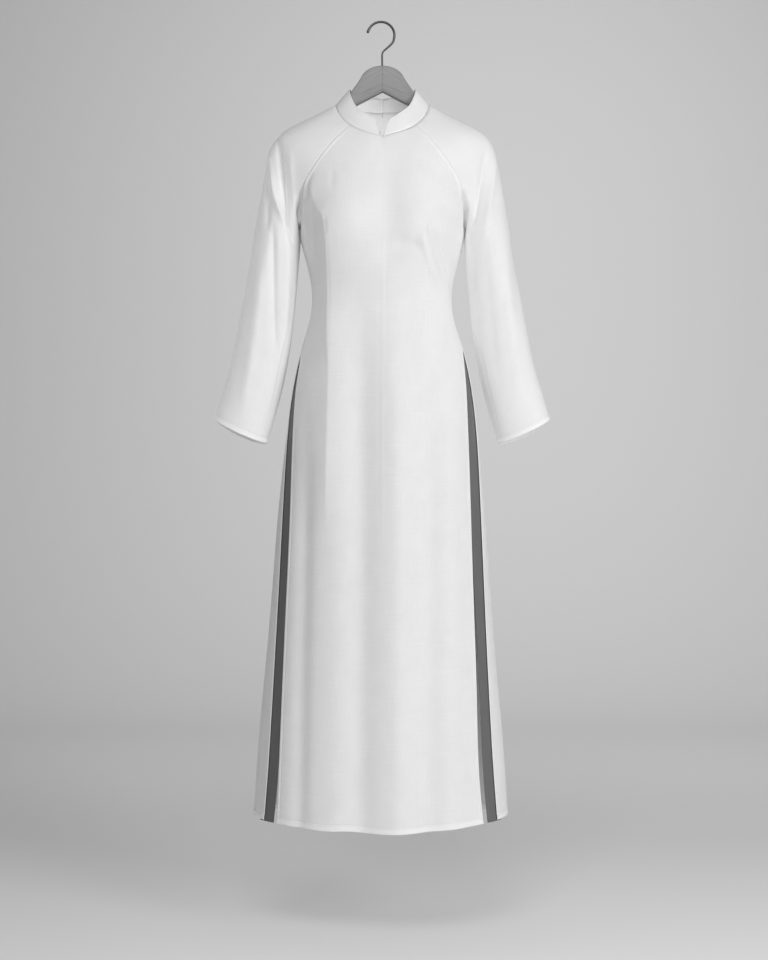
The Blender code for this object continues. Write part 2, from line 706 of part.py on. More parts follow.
def hook(name, finish):
    """The swivel hook: a round loop of wire and the neck that runs down into the wood."""
    turns = np.radians(np.linspace(HOOK_TIP_ANGLE, HOOK_NECK_ANGLE, HOOK_TURNS))
    route = [
        (HOOK_CENTRE_X + HOOK_RADIUS * np.cos(a), HOOK_CENTRE_Z + HOOK_RADIUS * np.sin(a)) for a in turns
    ]
    route = route + HOOK_BEND + HOOK_STEM
    curve = bpy.data.curves.new(name, "CURVE")
    curve.dimensions = "3D"
    curve.bevel_depth = WIRE_DIAMETER / 2 * MM
    curve.bevel_resolution = 2
    curve.use_fill_caps = True
    line = curve.splines.new("POLY")
    line.points.add(len(route) - 1)
    for point, (x, z) in zip(line.points, route):
        point.co = (x * MM, 0.0, z * MM, 1.0)
    made = bpy.data.objects.new(name, curve)
    bpy.context.collection.objects.link(made)
    curve.materials.append(finish)
    return made


clear_scene()
white_cloth = material("white_cloth", (0.86, 0.86, 0.86), 0.6)
grey_cloth = material("grey_cloth", (0.06, 0.06, 0.06), 0.7)
white_bead = material("white_bead", (0.9, 0.9, 0.9), 0.3)
wood = material("wood", (0.24, 0.24, 0.24), 0.5)
dark_wire = material("dark_wire", (0.12, 0.12, 0.12), 0.35)

panel("front_panel", -1, white_cloth)
panel("back_panel", 1, white_cloth)
for side_name, way in (("left", -1), ("right", 1)):
    raglan_sleeve("sleeve_" + side_name, way, white_cloth)
    collar_half("collar_" + side_name, way, white_cloth)
    slit_inset("slit_inset_" + side_name, way, grey_cloth)
    hanger_half("hanger_arm_" + side_name, way, wood)
bead("front_bead", *FRONT_BEAD, white_bead)
bead("back_hook", *BACK_HOOK, white_bead)
bead("back_loop", *BACK_LOOP, white_bead)
hook("hook", dark_wire)
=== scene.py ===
"""An ao dai tunic, filled out as it is worn and hung on its wooden hanger: the looks, round the CAD frame.

The frame is in metres, with +Z up, +X to the viewer's right and -Y towards the viewer. Cloth is cut and
shaped in millimetres below, and MM turns its points into metres where a mesh is made.
"""

import math

import bmesh
import bpy
import numpy as np
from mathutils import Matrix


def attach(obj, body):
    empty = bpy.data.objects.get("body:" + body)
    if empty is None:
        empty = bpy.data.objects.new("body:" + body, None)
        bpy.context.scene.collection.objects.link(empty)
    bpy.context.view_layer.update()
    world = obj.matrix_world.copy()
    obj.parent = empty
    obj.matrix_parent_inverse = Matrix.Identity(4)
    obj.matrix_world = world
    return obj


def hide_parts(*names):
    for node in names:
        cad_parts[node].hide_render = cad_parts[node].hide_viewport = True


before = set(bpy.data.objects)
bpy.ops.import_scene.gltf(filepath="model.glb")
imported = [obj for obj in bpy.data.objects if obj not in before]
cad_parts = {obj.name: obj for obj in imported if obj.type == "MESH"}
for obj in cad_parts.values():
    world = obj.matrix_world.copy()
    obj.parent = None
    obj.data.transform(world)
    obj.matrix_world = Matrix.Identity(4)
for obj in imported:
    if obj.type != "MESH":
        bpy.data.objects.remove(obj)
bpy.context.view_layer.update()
MM = 0.001

# ---------------------------------------------------------------- studio
# A seamless pale grey sweep of paper with its own two lights, a large soft light to the right of the camera,
# a smaller one high in front and an even glow from all round. Two weak fills come later, with the pieces
# that they light. The camera stands level with the waist.
HOOK_TO_FLOOR = 1.556
SWEEP_FRONT = -4.5
SWEEP_BACK = 4.4
SWEEP_BEND = 1.8
SWEEP_TOP = 5.0
SWEEP_HALF_WIDTH = 5.0
PAPER_GREY = (0.62, 0.62, 0.62, 1.0)
CAMERA_AT = (0.0026, -3.2, -0.781)
CAMERA_LENS = 70.2

studio = bpy.context.scene
studio.view_settings.view_transform = "Standard"
studio.world = studio.world or bpy.data.worlds.new("studio")
studio.world.use_nodes = True
glow = studio.world.node_tree.nodes["Background"]
glow.inputs["Color"].default_value = (1.0, 1.0, 1.0, 1.0)
glow.inputs["Strength"].default_value = 0.24


def placed(name, data):
    """A new object of this mesh, lamp, curve or camera, in the scene."""
    made = bpy.data.objects.new(name, data)
    studio.collection.objects.link(made)
    return made


def add_sweep():
    """The paper: a floor that turns up into a wall in one bend."""
    turns = np.linspace(0.0, math.pi / 2, 25)
    middle = SWEEP_BACK - SWEEP_BEND
    profile = [(SWEEP_FRONT, 0.0)]
    profile += [(middle + SWEEP_BEND * math.sin(a), SWEEP_BEND * (1 - math.cos(a))) for a in turns]
    profile += [(SWEEP_BACK, SWEEP_TOP)]
    points = [(x, y, z - HOOK_TO_FLOOR) for y, z in profile for x in (-SWEEP_HALF_WIDTH, SWEEP_HALF_WIDTH)]
    faces = [(2 * i, 2 * i + 1, 2 * i + 3, 2 * i + 2) for i in range(len(profile) - 1)]
    mesh = bpy.data.meshes.new("studio_sweep")
    mesh.from_pydata(points, [], faces)
    mesh.shade_smooth()
    paper = bpy.data.materials.new("studio_paper")
    paper.use_nodes = True
    shader = paper.node_tree.nodes["Principled BSDF"]
    shader.inputs["Base Color"].default_value = PAPER_GREY
    shader.inputs["Roughness"].default_value = 0.9
    shader.inputs["Specular IOR Level"].default_value = 0.1
    mesh.materials.append(paper)
    made = placed("studio_sweep", mesh)
    return made


def add_light(name, place, aim, size, power):
    """A rectangular soft light that faces a point."""
    lamp = bpy.data.lights.new(name, "AREA")
    lamp.shape = "RECTANGLE"
    lamp.size, lamp.size_y = size
    lamp.energy = power
    light = placed(name, lamp)
    away = np.array(aim) - np.array(place)
    yaw = math.atan2(away[0], away[1])
    tilt = math.atan2(math.hypot(away[0], away[1]), -away[2])
    light.rotation_euler = (tilt, 0.0, -yaw)
    light.location = place
    return light


def keep_light_on(light, pieces, blockers):
    """Lets the light fall on these pieces only, with only these blockers in its way."""
    for role, members in (("receiver_collection", pieces), ("blocker_collection", blockers)):
        group = bpy.data.collections.new(light.name + "_" + role)
        for member in members:
            group.objects.link(member)
        setattr(light.light_linking, role, group)


sweep = add_sweep()
add_light("key_light", (2.25, -2.7, -0.05), (0.0, 0.0, -0.7), (1.2, 2.0), 59.5)
add_light("front_light", (-0.25, -2.5, 1.0), (0.0, 0.0, -0.3), (1.2, 0.9), 28.5)
floor_light = add_light("floor_light", (0.7, -1.2, 1.2), (0.4, 0.1, -1.55), (2.6, 1.2), 47.0)
wall_light = add_light("wall_light", (0.6, 0.5, 1.2), (0.35, 4.4, -0.1), (1.6, 1.6), 33.0)
wall_light.data.spread = math.radians(120)
for light in (floor_light, wall_light):
    keep_light_on(light, [sweep], [sweep])

camera = bpy.data.cameras.new("camera")
camera.lens = CAMERA_LENS
camera_object = placed("camera", camera)
camera_object.location = CAMERA_AT
camera_object.rotation_euler = (math.pi / 2, 0.0, 0.0)
studio.camera = camera_object


# ---------------------------------------------------------------- front panel
# The front is one length of fine white slub cloth from neck to hem, shaped by two long vertical darts. It
# is sewn to the sleeves along the raglan seams, to the back down to the slits, and has narrow turned hems.

WALL = 1.2
UNDERARM_Z = -371.0
SLIT_TOP_Z = -555.0
HEM_SIDE_Z = -1354.0
FRONT_HEM_RISE = 4.0
FRONT_HEM_BELLY = 11.0
FRONT_HEM_LOBES = [(-55, 24, 1.8), (34, 40, -1.0)]
BACK_HEM_BELLY = 7.0
BACK_HEM_WAVE = 1.2
BACK_HEM_WAVELENGTH = 27.0
BACK_HEM_PHASE = 0.6
NECK_HALF_WIDTH = 79.5
NECK_DEPTH = 58.0
RAGLAN_FRONT_ANGLE = 44.0
RAGLAN_BACK_ANGLE = 138.0
BUST_X = 76.0
BUST_Z = -342.0
BUST_RADIUS_X = 44.0
BUST_RADIUS_Z = 56.0
BUST_RISE = 9.0
NECK_BLEND = 14.0
SIDE_MARGIN = 1.5
UNDERARM_TURN = 0.6


def table(names, rows):
    """Rows of numbers as one array for each named column."""
    return dict(zip(names, np.array(rows, float).T))


BODY = table(
    ("height", "half_width", "front", "back", "square"),
    [
        (-1380, 218.5, 137, 118, 1.90),
        (-1202, 206.8, 131, 115, 1.92),
        (-1123, 199.6, 128, 113, 1.94),
        (-986, 188.0, 122, 110, 1.97),
        (-884, 180.8, 117, 108, 2.00),
        (-812, 174.8, 114, 106, 2.02),
        (-754, 168.9, 111, 105, 2.05),
        (-701, 163.0, 108, 103, 2.08),
        (-646, 156.0, 104, 99, 2.10),
        (-600, 148.2, 99, 91, 2.12),
        (-550, 135.0, 92, 78, 2.15),
        (-510, 122.5, 86, 67, 2.20),
        (-473, 118.0, 84, 63, 2.20),
        (-439, 121.6, 89, 68, 2.20),
        (-405, 130.4, 96, 76, 2.20),
        (-371, 139.4, 101, 84, 2.20),
        (-341, 146.0, 102, 88, 2.20),
        (-309, 152.0, 97, 91, 2.20),
        (-280, 156.0, 90, 91, 2.20),
        (-250, 158.5, 80, 88, 2.20),
        (-215, 160.0, 65, 82, 2.20),
        (-182, 152.0, 44, 73, 2.20),
        (-160, 124.0, 28, 66, 2.10),
        (-140, 80.5, 12, 58, 2.00),
    ],
)

NECK = table(
    ("angle", "seam", "top"),
    [
        (0, -203.0, -178.0),
        (20, -194.6, -167.6),
        (36, -186.3, -157.0),
        (52, -174.0, -146.5),
        (67, -160.0, -131.3),
        (90, -140.0, -114.0),
        (120, -138.5, -114.0),
        (150, -140.0, -118.0),
        (180, -141.0, -121.0),
    ],
)

CAP = table(
    ("station", "front_x", "front_z", "ridge_x", "ridge_y", "ridge_z", "back_x", "back_z"),
    [
        (0.00, 55.2, -180.8, 79.5, 0, -140.0, 53.2, -139.3),
        (0.15, 87.5, -215.0, 126.0, 4, -162.6, 84.0, -192.0),
        (0.32, 113.5, -250.0, 168.0, 6, -185.0, 111.0, -240.0),
        (0.48, 131.4, -280.0, 190.5, 5, -213.5, 130.0, -276.0),
        (0.64, 138.7, -309.0, 202.5, 3, -266.0, 138.4, -309.0),
        (0.82, 140.2, -341.0, 211.0, 1, -315.0, 140.0, -341.0),
        (1.00, 139.4, UNDERARM_Z, 217.5, 0, -350.0, 139.4, UNDERARM_Z),
    ],
)

SLIT = table(
    ("height", "front_edge", "back_edge", "inset_edge", "front_sway", "skirt_sway"),
    [
        (-1380, 174.4, 198.5, 183.5, 0.4, -3.0),
        (-1281, 167.6, 190.5, 174.0, -2.9, -2.9),
        (-1148, 163.0, 182.6, 168.0, -2.7, -2.7),
        (-982, 157.0, 174.4, 158.5, -2.6, -1.8),
        (-814, 151.0, 166.8, 149.5, -2.4, -1.0),
        (-730, 148.4, 162.6, 144.0, -2.8, -0.6),
        (-661, 145.6, 157.0, 140.0, -2.6, -0.4),
        (-620, 142.9, 151.0, 137.0, -1.8, -0.2),
        (-586, 138.9, 144.0, 134.0, -0.8, 0.0),
        (-555, 135.6, 136.6, 130.0, 0.0, 0.0),
    ],
)


def smooth_curve(xs, ys):
    """The natural cubic spline through the points, as a function."""
    order = np.argsort(xs)
    xs = np.asarray(xs, float)[order]
    ys = np.asarray(ys, float)[order]
    step = np.diff(xs)
    slope = np.diff(ys) / step
    system = np.eye(len(xs))
    right = np.zeros(len(xs))
    for i in range(1, len(xs) - 1):
        system[i, i - 1 : i + 2] = step[i - 1], 2 * (step[i - 1] + step[i]), step[i]
        right[i] = 6 * (slope[i] - slope[i - 1])
    bend = np.linalg.solve(system, right)

    def value(x):
        x = np.clip(np.asarray(x, float), xs[0], xs[-1])
        i = np.clip(np.searchsorted(xs, x) - 1, 0, len(xs) - 2)
        left = x - xs[i]
        rest = xs[i + 1] - x
        cubic = (bend[i] * rest**3 + bend[i + 1] * left**3) / (6 * step[i])
        low = (ys[i] / step[i] - bend[i] * step[i] / 6) * rest
        high = (ys[i + 1] / step[i] - bend[i + 1] * step[i] / 6) * left
        return cubic + low + high

    return value


def curves_of(columns, key):
    """Each column of a table as a smooth curve over its key column."""
    return {name: smooth_curve(columns[key], column) for name, column in columns.items() if name != key}


body = curves_of(BODY, "height")
neck = curves_of(NECK, "angle")
cap = curves_of(CAP, "station")
slit = curves_of(SLIT, "height")


def smooth_step(x):
    """0 below 0, 1 above 1 and a soft rise between."""
    x = np.clip(x, 0.0, 1.0)
    return x * x * (3 - 2 * x)


def unit(vectors):
    """The vectors at length 1."""
    return vectors / np.maximum(np.linalg.norm(vectors, axis=-1, keepdims=True), 1e-9)


def neck_seam(degrees):
    """The neckline's point at an angle from the front centre."""
    angle = np.radians(degrees)
    x = NECK_HALF_WIDTH * np.sin(angle)
    return np.stack([x, -NECK_DEPTH * np.cos(angle), neck["seam"](degrees)], -1)


def figure_y(x, z, side):
    """How far the cloth stands from the shoulder line at a point of the front (side -1) or back (+1) view."""
    share = np.minimum(np.abs(x) / body["half_width"](z), 1.0)
    square = body["square"](z)
    depth = body["front" if side < 0 else "back"](z)
    y = depth * (1 - share**square) ** (1 / square)
    if side < 0:
        across = (np.abs(x) - BUST_X) / BUST_RADIUS_X
        up = (z - BUST_Z) / BUST_RADIUS_Z
        y = y + BUST_RISE * np.exp(-(across**2) - up**2) * (1 - share**6)
    return side * y


def cloth_y(x, z, side):
    """figure_y, brought to the neckline near the neck."""
    sine = np.minimum(np.abs(x) / NECK_HALF_WIDTH, 1.0)
    degrees = np.degrees(np.arcsin(sine))
    seam = neck_seam(degrees if side < 0 else 180 - degrees)
    miss = seam[..., 1] - figure_y(x, seam[..., 2], side)
    return figure_y(x, z, side) + miss * np.exp(-np.maximum(seam[..., 2] - z, 0.0) / NECK_BLEND)


def cloth_point(x, z, side):
    """The points of the cloth at these places of the front or back view."""
    x, z = np.broadcast_arrays(np.asarray(x, float), np.asarray(z, float))
    return np.stack([x, cloth_y(x, z, side), z], -1)


def cloth_slopes(x, z, side, reach=0.5):
    """How fast the cloth's depth changes across and upwards."""
    by_x = (cloth_y(x + reach, z, side) - cloth_y(x - reach, z, side)) / (2 * reach)
    by_z = (cloth_y(x, z + reach, side) - cloth_y(x, z - reach, side)) / (2 * reach)
    return by_x, by_z


def cloth_normal(x, z, side):
    """Outward from the cloth."""
    by_x, by_z = cloth_slopes(x, z, side)
    return unit(side * np.stack([-by_x, np.ones_like(by_x), -by_z], -1))


def raglan_seam(station, side):
    """The raglan seam's points, of the sleeve at +X."""
    which = "front" if side < 0 else "back"
    x = cap[which + "_x"](station)
    z = cap[which + "_z"](station)
    return cloth_point(np.minimum(x, body["half_width"](z)), z, side)


def raglan_normal(station, side):
    """The seam's outward direction, shared by the two pieces that it joins; straight down at the underarm."""
    points = raglan_seam(station, side)
    inside = np.minimum(points[..., 0], body["half_width"](points[..., 2]) - SIDE_MARGIN)
    out = cloth_normal(inside, points[..., 2], side)
    share = smooth_step((np.asarray(station) - UNDERARM_TURN) / (1 - UNDERARM_TURN))[..., None]
    return unit(out * (1 - share) + np.array([0.0, 0.0, -1.0]) * share)


PANEL_COLUMNS = 210
HEM_ROWS = 12
HEM_ZONE = 15.0
SKIRT_ROWS = 92
BODICE_ROWS = 62
CAP_ROWS = 60
EDGE_CROWDING = 0.25


def crowded(cells):
    """Stations from -1 to 1 that lie closer together towards both ends."""
    even = np.linspace(-1.0, 1.0, cells + 1)
    return even * (1 + EDGE_CROWDING * (1 - even**2))


def hem_z(x, side):
    """The hem's height: each panel is a little longer in the middle, and hangs in two soft lobes."""
    share = np.minimum(np.abs(x) / body["half_width"](HEM_SIDE_Z), 1.0)
    if side < 0:
        lobes = sum(rise * np.exp(-(((x - middle) / width) ** 2)) for middle, width, rise in FRONT_HEM_LOBES)
        return HEM_SIDE_Z + FRONT_HEM_RISE - FRONT_HEM_BELLY * (1 - share**2) + lobes
    wave = BACK_HEM_WAVE * np.sin(x / BACK_HEM_WAVELENGTH + BACK_HEM_PHASE)
    return HEM_SIDE_Z - BACK_HEM_BELLY * (1 - share**2) + wave


def skirt_levels():
    """The heights of the skirt's rows, close together in the hem."""
    hem = np.linspace(0.0, HEM_ZONE, HEM_ROWS + 1)[:-1]
    rest = np.linspace(HEM_ZONE, SLIT_TOP_Z - HEM_SIDE_Z, SKIRT_ROWS + 1)
    return HEM_SIDE_Z + np.concatenate([hem, rest])


def panel_row(edge_left, edge_right, level, side, neck_share=0.0, hem_share=0.0):
    """One row of a panel between its two edges, sampled by angle so that the sides stay round."""
    half_width = body["half_width"](level)
    first = -np.arcsin(min(edge_left / half_width, 1.0))
    last = np.arcsin(min(edge_right / half_width, 1.0))
    x = half_width * np.sin((first + last) / 2 + (last - first) / 2 * crowded(PANEL_COLUMNS))
    z = np.full(x.shape, level) + hem_share * (hem_z(x, side) - HEM_SIDE_Z)
    if neck_share > 0:
        start = neck_seam(RAGLAN_FRONT_ANGLE if side < 0 else RAGLAN_BACK_ANGLE)
        sine = np.abs(x) / max(edge_right, edge_left) * start[0] / NECK_HALF_WIDTH
        degrees = np.degrees(np.arcsin(np.minimum(sine, 1.0)))
        seam_z = neck_seam(degrees if side < 0 else 180 - degrees)[..., 2]
        z = z + neck_share * (seam_z - start[2])
    return cloth_point(x, z, side)


def wrapped_back_row(edge, level, hem_share):
    """A skirt row of the back panel, whose sides come forward past the silhouette to the slit's edge."""
    half_width = float(body["half_width"](level))
    wrap = np.arccos(min(edge / half_width, 1.0))
    angles = (np.pi / 2 + wrap) * crowded(PANEL_COLUMNS)
    x = half_width * np.sin(angles)
    behind = np.abs(angles) <= np.pi / 2
    z = level + hem_share * (np.where(behind, hem_z(x, 1), hem_z(x, -1)) - HEM_SIDE_Z)
    y = np.where(behind, figure_y(x, z, 1), figure_y(x, z, -1))
    return np.stack([x, y, z], -1)


def panel_surface(side):
    """The panel's smooth surface as rows of points from hem to neck."""
    rows = []
    for level in skirt_levels():
        hem_share = ((SLIT_TOP_Z - level) / (SLIT_TOP_Z - HEM_SIDE_Z)) ** 2
        if side < 0:
            edge = float(slit["front_edge"](level))
            sway = float(slit["front_sway"](level))
            rows.append(panel_row(edge - sway, edge + sway, level, side, hem_share=hem_share))
        else:
            rows.append(wrapped_back_row(float(slit["back_edge"](level)), level, hem_share))
    for level in np.linspace(SLIT_TOP_Z, UNDERARM_Z, BODICE_ROWS + 1)[1:]:
        edge = float(body["half_width"](level))
        rows.append(panel_row(edge, edge, level, side))
    for station in np.linspace(1.0, 0.0, CAP_ROWS + 1)[1:]:
        edge, _, level = raglan_seam(station, side)
        rows.append(panel_row(edge, edge, level, side, neck_share=(1 - station) ** 2))
    return np.array(rows)


def hung_aside(points):
    """The points of the skirt, moved to the side that it hangs to."""
    points[..., 0] += np.where(points[..., 2] < SLIT_TOP_Z, slit["skirt_sway"](points[..., 2]), 0.0)
    return points


def lengths(points, axis):
    """How far along the cloth each point lies, down its row (axis 1) or its column (axis 0)."""
    steps = np.linalg.norm(np.diff(points, axis=axis), axis=-1)
    first = np.zeros_like(np.take(steps, [0], axis=axis))
    return np.concatenate([first, np.cumsum(steps, axis=axis)], axis=axis)


FOLD = ("x1", "z1", "x2", "z2", "x3", "z3", "left", "right", "rise", "crisp")
FOLD_TAPER = 0.3


def fold_relief(points, folds):
    """How far the folds lift the cloth. Each follows a curve from its first to its third point, bent towards
    the second, and falls off over its left and right widths; crisp 1 gives it an edge, 2 a round back."""
    where = points[..., [0, 2]].reshape(-1, 2)
    relief = np.zeros(len(where))
    for row in folds:
        fold = dict(zip(FOLD, row))
        route = np.array([[fold["x" + place], fold["z" + place]] for place in "123"], float)
        t = np.linspace(0.0, 1.0, 25)[:, None]
        line = (1 - t) ** 2 * route[0] + 2 * t * (1 - t) * route[1] + t**2 * route[2]
        reach = 3 * max(fold["left"], fold["right"])
        near = np.all((where > line.min(0) - reach) & (where < line.max(0) + reach), axis=1)
        picked = where[near]
        if not len(picked):
            continue
        run = np.diff(line, axis=0)
        offset = picked[:, None] - line[None, :-1]
        share = np.clip(np.sum(offset * run, -1) / np.sum(run * run, -1), 0.0, 1.0)
        gap = offset - share[..., None] * run
        distance = np.linalg.norm(gap, axis=-1)
        best = distance.argmin(1)
        pick = np.arange(len(picked))
        along = (best + share[pick, best]) / len(run)
        turn = run[best, 0] * gap[pick, best, 1] - run[best, 1] * gap[pick, best, 0]
        width = np.where(turn * np.sign(run[best, 1]) > 0, fold["right"], fold["left"])
        taper = smooth_step(along / FOLD_TAPER) * smooth_step((1 - along) / FOLD_TAPER)
        relief[near] += fold["rise"] * taper * np.exp(-((distance[pick, best] / width) ** fold["crisp"]))
    return relief.reshape(points.shape[:-1])


HEM_EDGE = 0.8
HEM_GROOVE_WIDTH = 0.9


def turned_hem(distance, width, lift=0.35, groove=0.5):
    """The relief of a narrow turned hem: its double cloth stands a little proud, down to its stitch line."""
    band = lift * smooth_step((width - distance) / HEM_EDGE)
    return band - groove * np.exp(-(((distance - width) / HEM_GROOVE_WIDTH) ** 2))


def doubled_highlight_band(distance, width):
    """1 where the cloth is turned double, up to the band's width, and 0 beyond; the same band places painted
    highlight.
    """
    return smooth_step((width - distance) / HEM_EDGE + 0.5)


def grid_quads(rows, columns):
    """The quads of a grid of points, row by row."""
    index = np.arange(rows * columns).reshape(rows, columns)
    return np.stack([index[:-1, :-1], index[:-1, 1:], index[1:, 1:], index[1:, :-1]], -1).reshape(-1, 4)


def point_normals(points, quads):
    """The area-weighted normal of each point of a mesh of quads."""
    area = np.cross(points[quads[:, 2]] - points[quads[:, 0]], points[quads[:, 3]] - points[quads[:, 1]])
    normals = np.zeros_like(points)
    for corner in quads.T:
        np.add.at(normals, corner, area)
    return unit(normals)


def cloth_normals(points, flip, merged=None):
    """The normal at each point of a grid, the same at points that are merged."""
    quads = grid_quads(*points.shape[:2])
    quads = quads[:, ::-1] if flip else quads
    if merged is None:
        return point_normals(points.reshape(-1, 3), quads).reshape(points.shape)
    normals = point_normals(points.reshape(-1, 3), merged.ravel()[quads])
    return normals[merged.ravel()].reshape(points.shape)


def cloth_piece(name, points, normals, relief, doubled_and_rim_highlight, finish, wall=WALL, flip=False, merged=None):
    """A thin closed wall of cloth over the grid of points, lifted by its relief, with its edges turned in. It
    carries how far the cloth is doubled at each point, a mask that also places painted highlight."""
    across = lengths(points, 1)
    across = across - across[:, [points.shape[1] // 2]]
    along = lengths(points, 0)
    quads = grid_quads(*points.shape[:2])
    quads = quads[:, ::-1] if flip else quads
    corners = quads if merged is None else merged.ravel()[quads]
    used, corners = np.unique(corners, return_inverse=True)
    corners = corners.reshape(-1, 4)
    flat_normals = normals.reshape(-1, 3)[used]
    outer = points.reshape(-1, 3)[used] + flat_normals * relief.reshape(-1)[used, None]
    ends = np.stack([corners, np.roll(corners, -1, axis=1)], -1).reshape(-1, 2)
    code = ends[:, 0] * len(used) + ends[:, 1]
    back = ends[:, 1] * len(used) + ends[:, 0]
    rim = ~np.isin(back, code)
    edge = np.zeros(len(used), bool)
    edge[ends[rim].ravel()] = True
    outer = outer - flat_normals * np.where(edge, 0.25 * wall, 0.0)[:, None]
    inner = outer - flat_normals * np.where(edge, 0.5 * wall, wall)[:, None]
    count = len(used)
    a, b = ends[rim].T
    sides = np.stack([b, a, a + count, b + count], -1)
    faces = np.vstack([corners, corners[:, ::-1] + count, sides])
    maps = np.vstack([quads, quads[:, ::-1]])
    mesh = bpy.data.meshes.new(name)
    mesh.from_pydata((np.vstack([outer, inner]) * MM).tolist(), [], faces.tolist())
    place = np.stack([across.ravel(), along.ravel()], -1) * MM
    rim_quads = quads.reshape(-1)[np.flatnonzero(rim)]
    next_quads = np.roll(quads, -1, axis=1).reshape(-1)[np.flatnonzero(rim)]
    side_maps = np.stack([next_quads, rim_quads, rim_quads, next_quads], -1)
    layer = mesh.uv_layers.new(name="cloth")
    layer.data.foreach_set("uv", place[np.vstack([maps, side_maps]).ravel()].astype(np.float32).ravel())
    layers = mesh.attributes.new("doubled_and_rim_highlight", "FLOAT", "POINT")
    layers.data.foreach_set("value", np.tile(doubled_and_rim_highlight.reshape(-1)[used], 2).astype(np.float32))
    mesh.shade_smooth()
    mesh.materials.append(finish)
    return placed(name, mesh)


def edge_line(face, out, distance, axis=0, far=False, part=slice(None)):
    """The line on a face that lies a distance in from its first row (axis 0) or column (1), or its last."""
    if axis == 1:
        face, out = np.swapaxes(face, 0, 1), np.swapaxes(out, 0, 1)
    if far:
        face, out = face[::-1], out[::-1]
    face, out = face[:, part], out[:, part]
    run = lengths(face, 0)
    above = np.argmax(run >= distance, axis=0)
    pick = np.arange(face.shape[1])
    low, high = run[above - 1, pick], run[above, pick]
    share = ((distance - low) / (high - low))[:, None]
    return face[above - 1, pick] * (1 - share) + face[above, pick] * share + out[above, pick] * STITCH_LIFT


def stitch_group():
    """Geometry Nodes that lay one short thread at each step along every line of the mesh."""
    group = bpy.data.node_groups.new("stitch_rows", "GeometryNodeTree")
    for name, kind, way in (
        ("Lines", "NodeSocketGeometry", "INPUT"),
        ("Step", "NodeSocketFloat", "INPUT"),
        ("Thread length", "NodeSocketFloat", "INPUT"),
        ("Thread width", "NodeSocketFloat", "INPUT"),
        ("Thread finish", "NodeSocketMaterial", "INPUT"),
        ("Stitches", "NodeSocketGeometry", "OUTPUT"),
    ):
        group.interface.new_socket(name=name, in_out=way, socket_type=kind)
    add = group.nodes.new
    given, ready = add("NodeGroupInput"), add("NodeGroupOutput")
    route, stations = add("GeometryNodeMeshToCurve"), add("GeometryNodeCurveToPoints")
    stations.mode = "LENGTH"
    thread, place = add("GeometryNodeMeshUVSphere"), add("GeometryNodeInstanceOnPoints")
    thread.inputs["Segments"].default_value = 6
    thread.inputs["Rings"].default_value = 5
    thread.inputs["Radius"].default_value = 0.5
    size, uneven, vary = add("ShaderNodeCombineXYZ"), add("FunctionNodeRandomValue"), add("ShaderNodeMath")
    uneven.data_type = "FLOAT"
    uneven.inputs[2].default_value = 0.86
    uneven.inputs[3].default_value = 1.1
    uneven.inputs["Seed"].default_value = 7
    vary.operation = "MULTIPLY"
    whole, coat = add("GeometryNodeRealizeInstances"), add("GeometryNodeSetMaterial")
    smooth = add("GeometryNodeSetShadeSmooth")
    for left, right in (
        (given.outputs["Lines"], route.inputs["Mesh"]),
        (route.outputs["Curve"], stations.inputs["Curve"]),
        (given.outputs["Step"], stations.inputs["Length"]),
        (stations.outputs["Points"], place.inputs["Points"]),
        (stations.outputs["Rotation"], place.inputs["Rotation"]),
        (thread.outputs["Mesh"], place.inputs["Instance"]),
        (given.outputs["Thread length"], vary.inputs[0]),
        (uneven.outputs[1], vary.inputs[1]),
        (given.outputs["Thread width"], size.inputs["X"]),
        (given.outputs["Thread width"], size.inputs["Y"]),
        (vary.outputs[0], size.inputs["Z"]),
        (size.outputs[0], place.inputs["Scale"]),
        (place.outputs["Instances"], smooth.inputs["Geometry"]),
        (smooth.outputs["Geometry"], whole.inputs["Geometry"]),
        (whole.outputs["Geometry"], coat.inputs["Geometry"]),
        (given.outputs["Thread finish"], coat.inputs["Material"]),
        (coat.outputs["Geometry"], ready.inputs["Stitches"]),
    ):
        group.links.new(left, right)
    return group


def stitch_rows(name, lines, finish, step=3.1, length=2.2, width=0.5):
    """Rows of sewn stitches along lines of points on the cloth, as one plain mesh."""
    points, edges = [], []
    for line in lines:
        edges += [(len(points) + i, len(points) + i + 1) for i in range(len(line) - 1)]
        points += (np.asarray(line) * MM).tolist()
    guide = bpy.data.meshes.new(name + "_guide")
    guide.from_pydata(points, edges, [])
    piece = placed(name, guide)
    modifier = piece.modifiers.new("stitches", "NODES")
    modifier.node_group = stitch_nodes
    values = {
        "Step": step * MM, "Thread length": length * MM, "Thread width": width * MM, "Thread finish": finish,
    }
    for socket in stitch_nodes.interface.items_tree:
        if socket.name in values:
            modifier[socket.identifier] = values[socket.name]
    sewn = bpy.data.meshes.new_from_object(piece.evaluated_get(bpy.context.evaluated_depsgraph_get()))
    piece.modifiers.remove(modifier)
    piece.data = sewn
    sewn.name = name
    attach(piece, "root")
    return piece


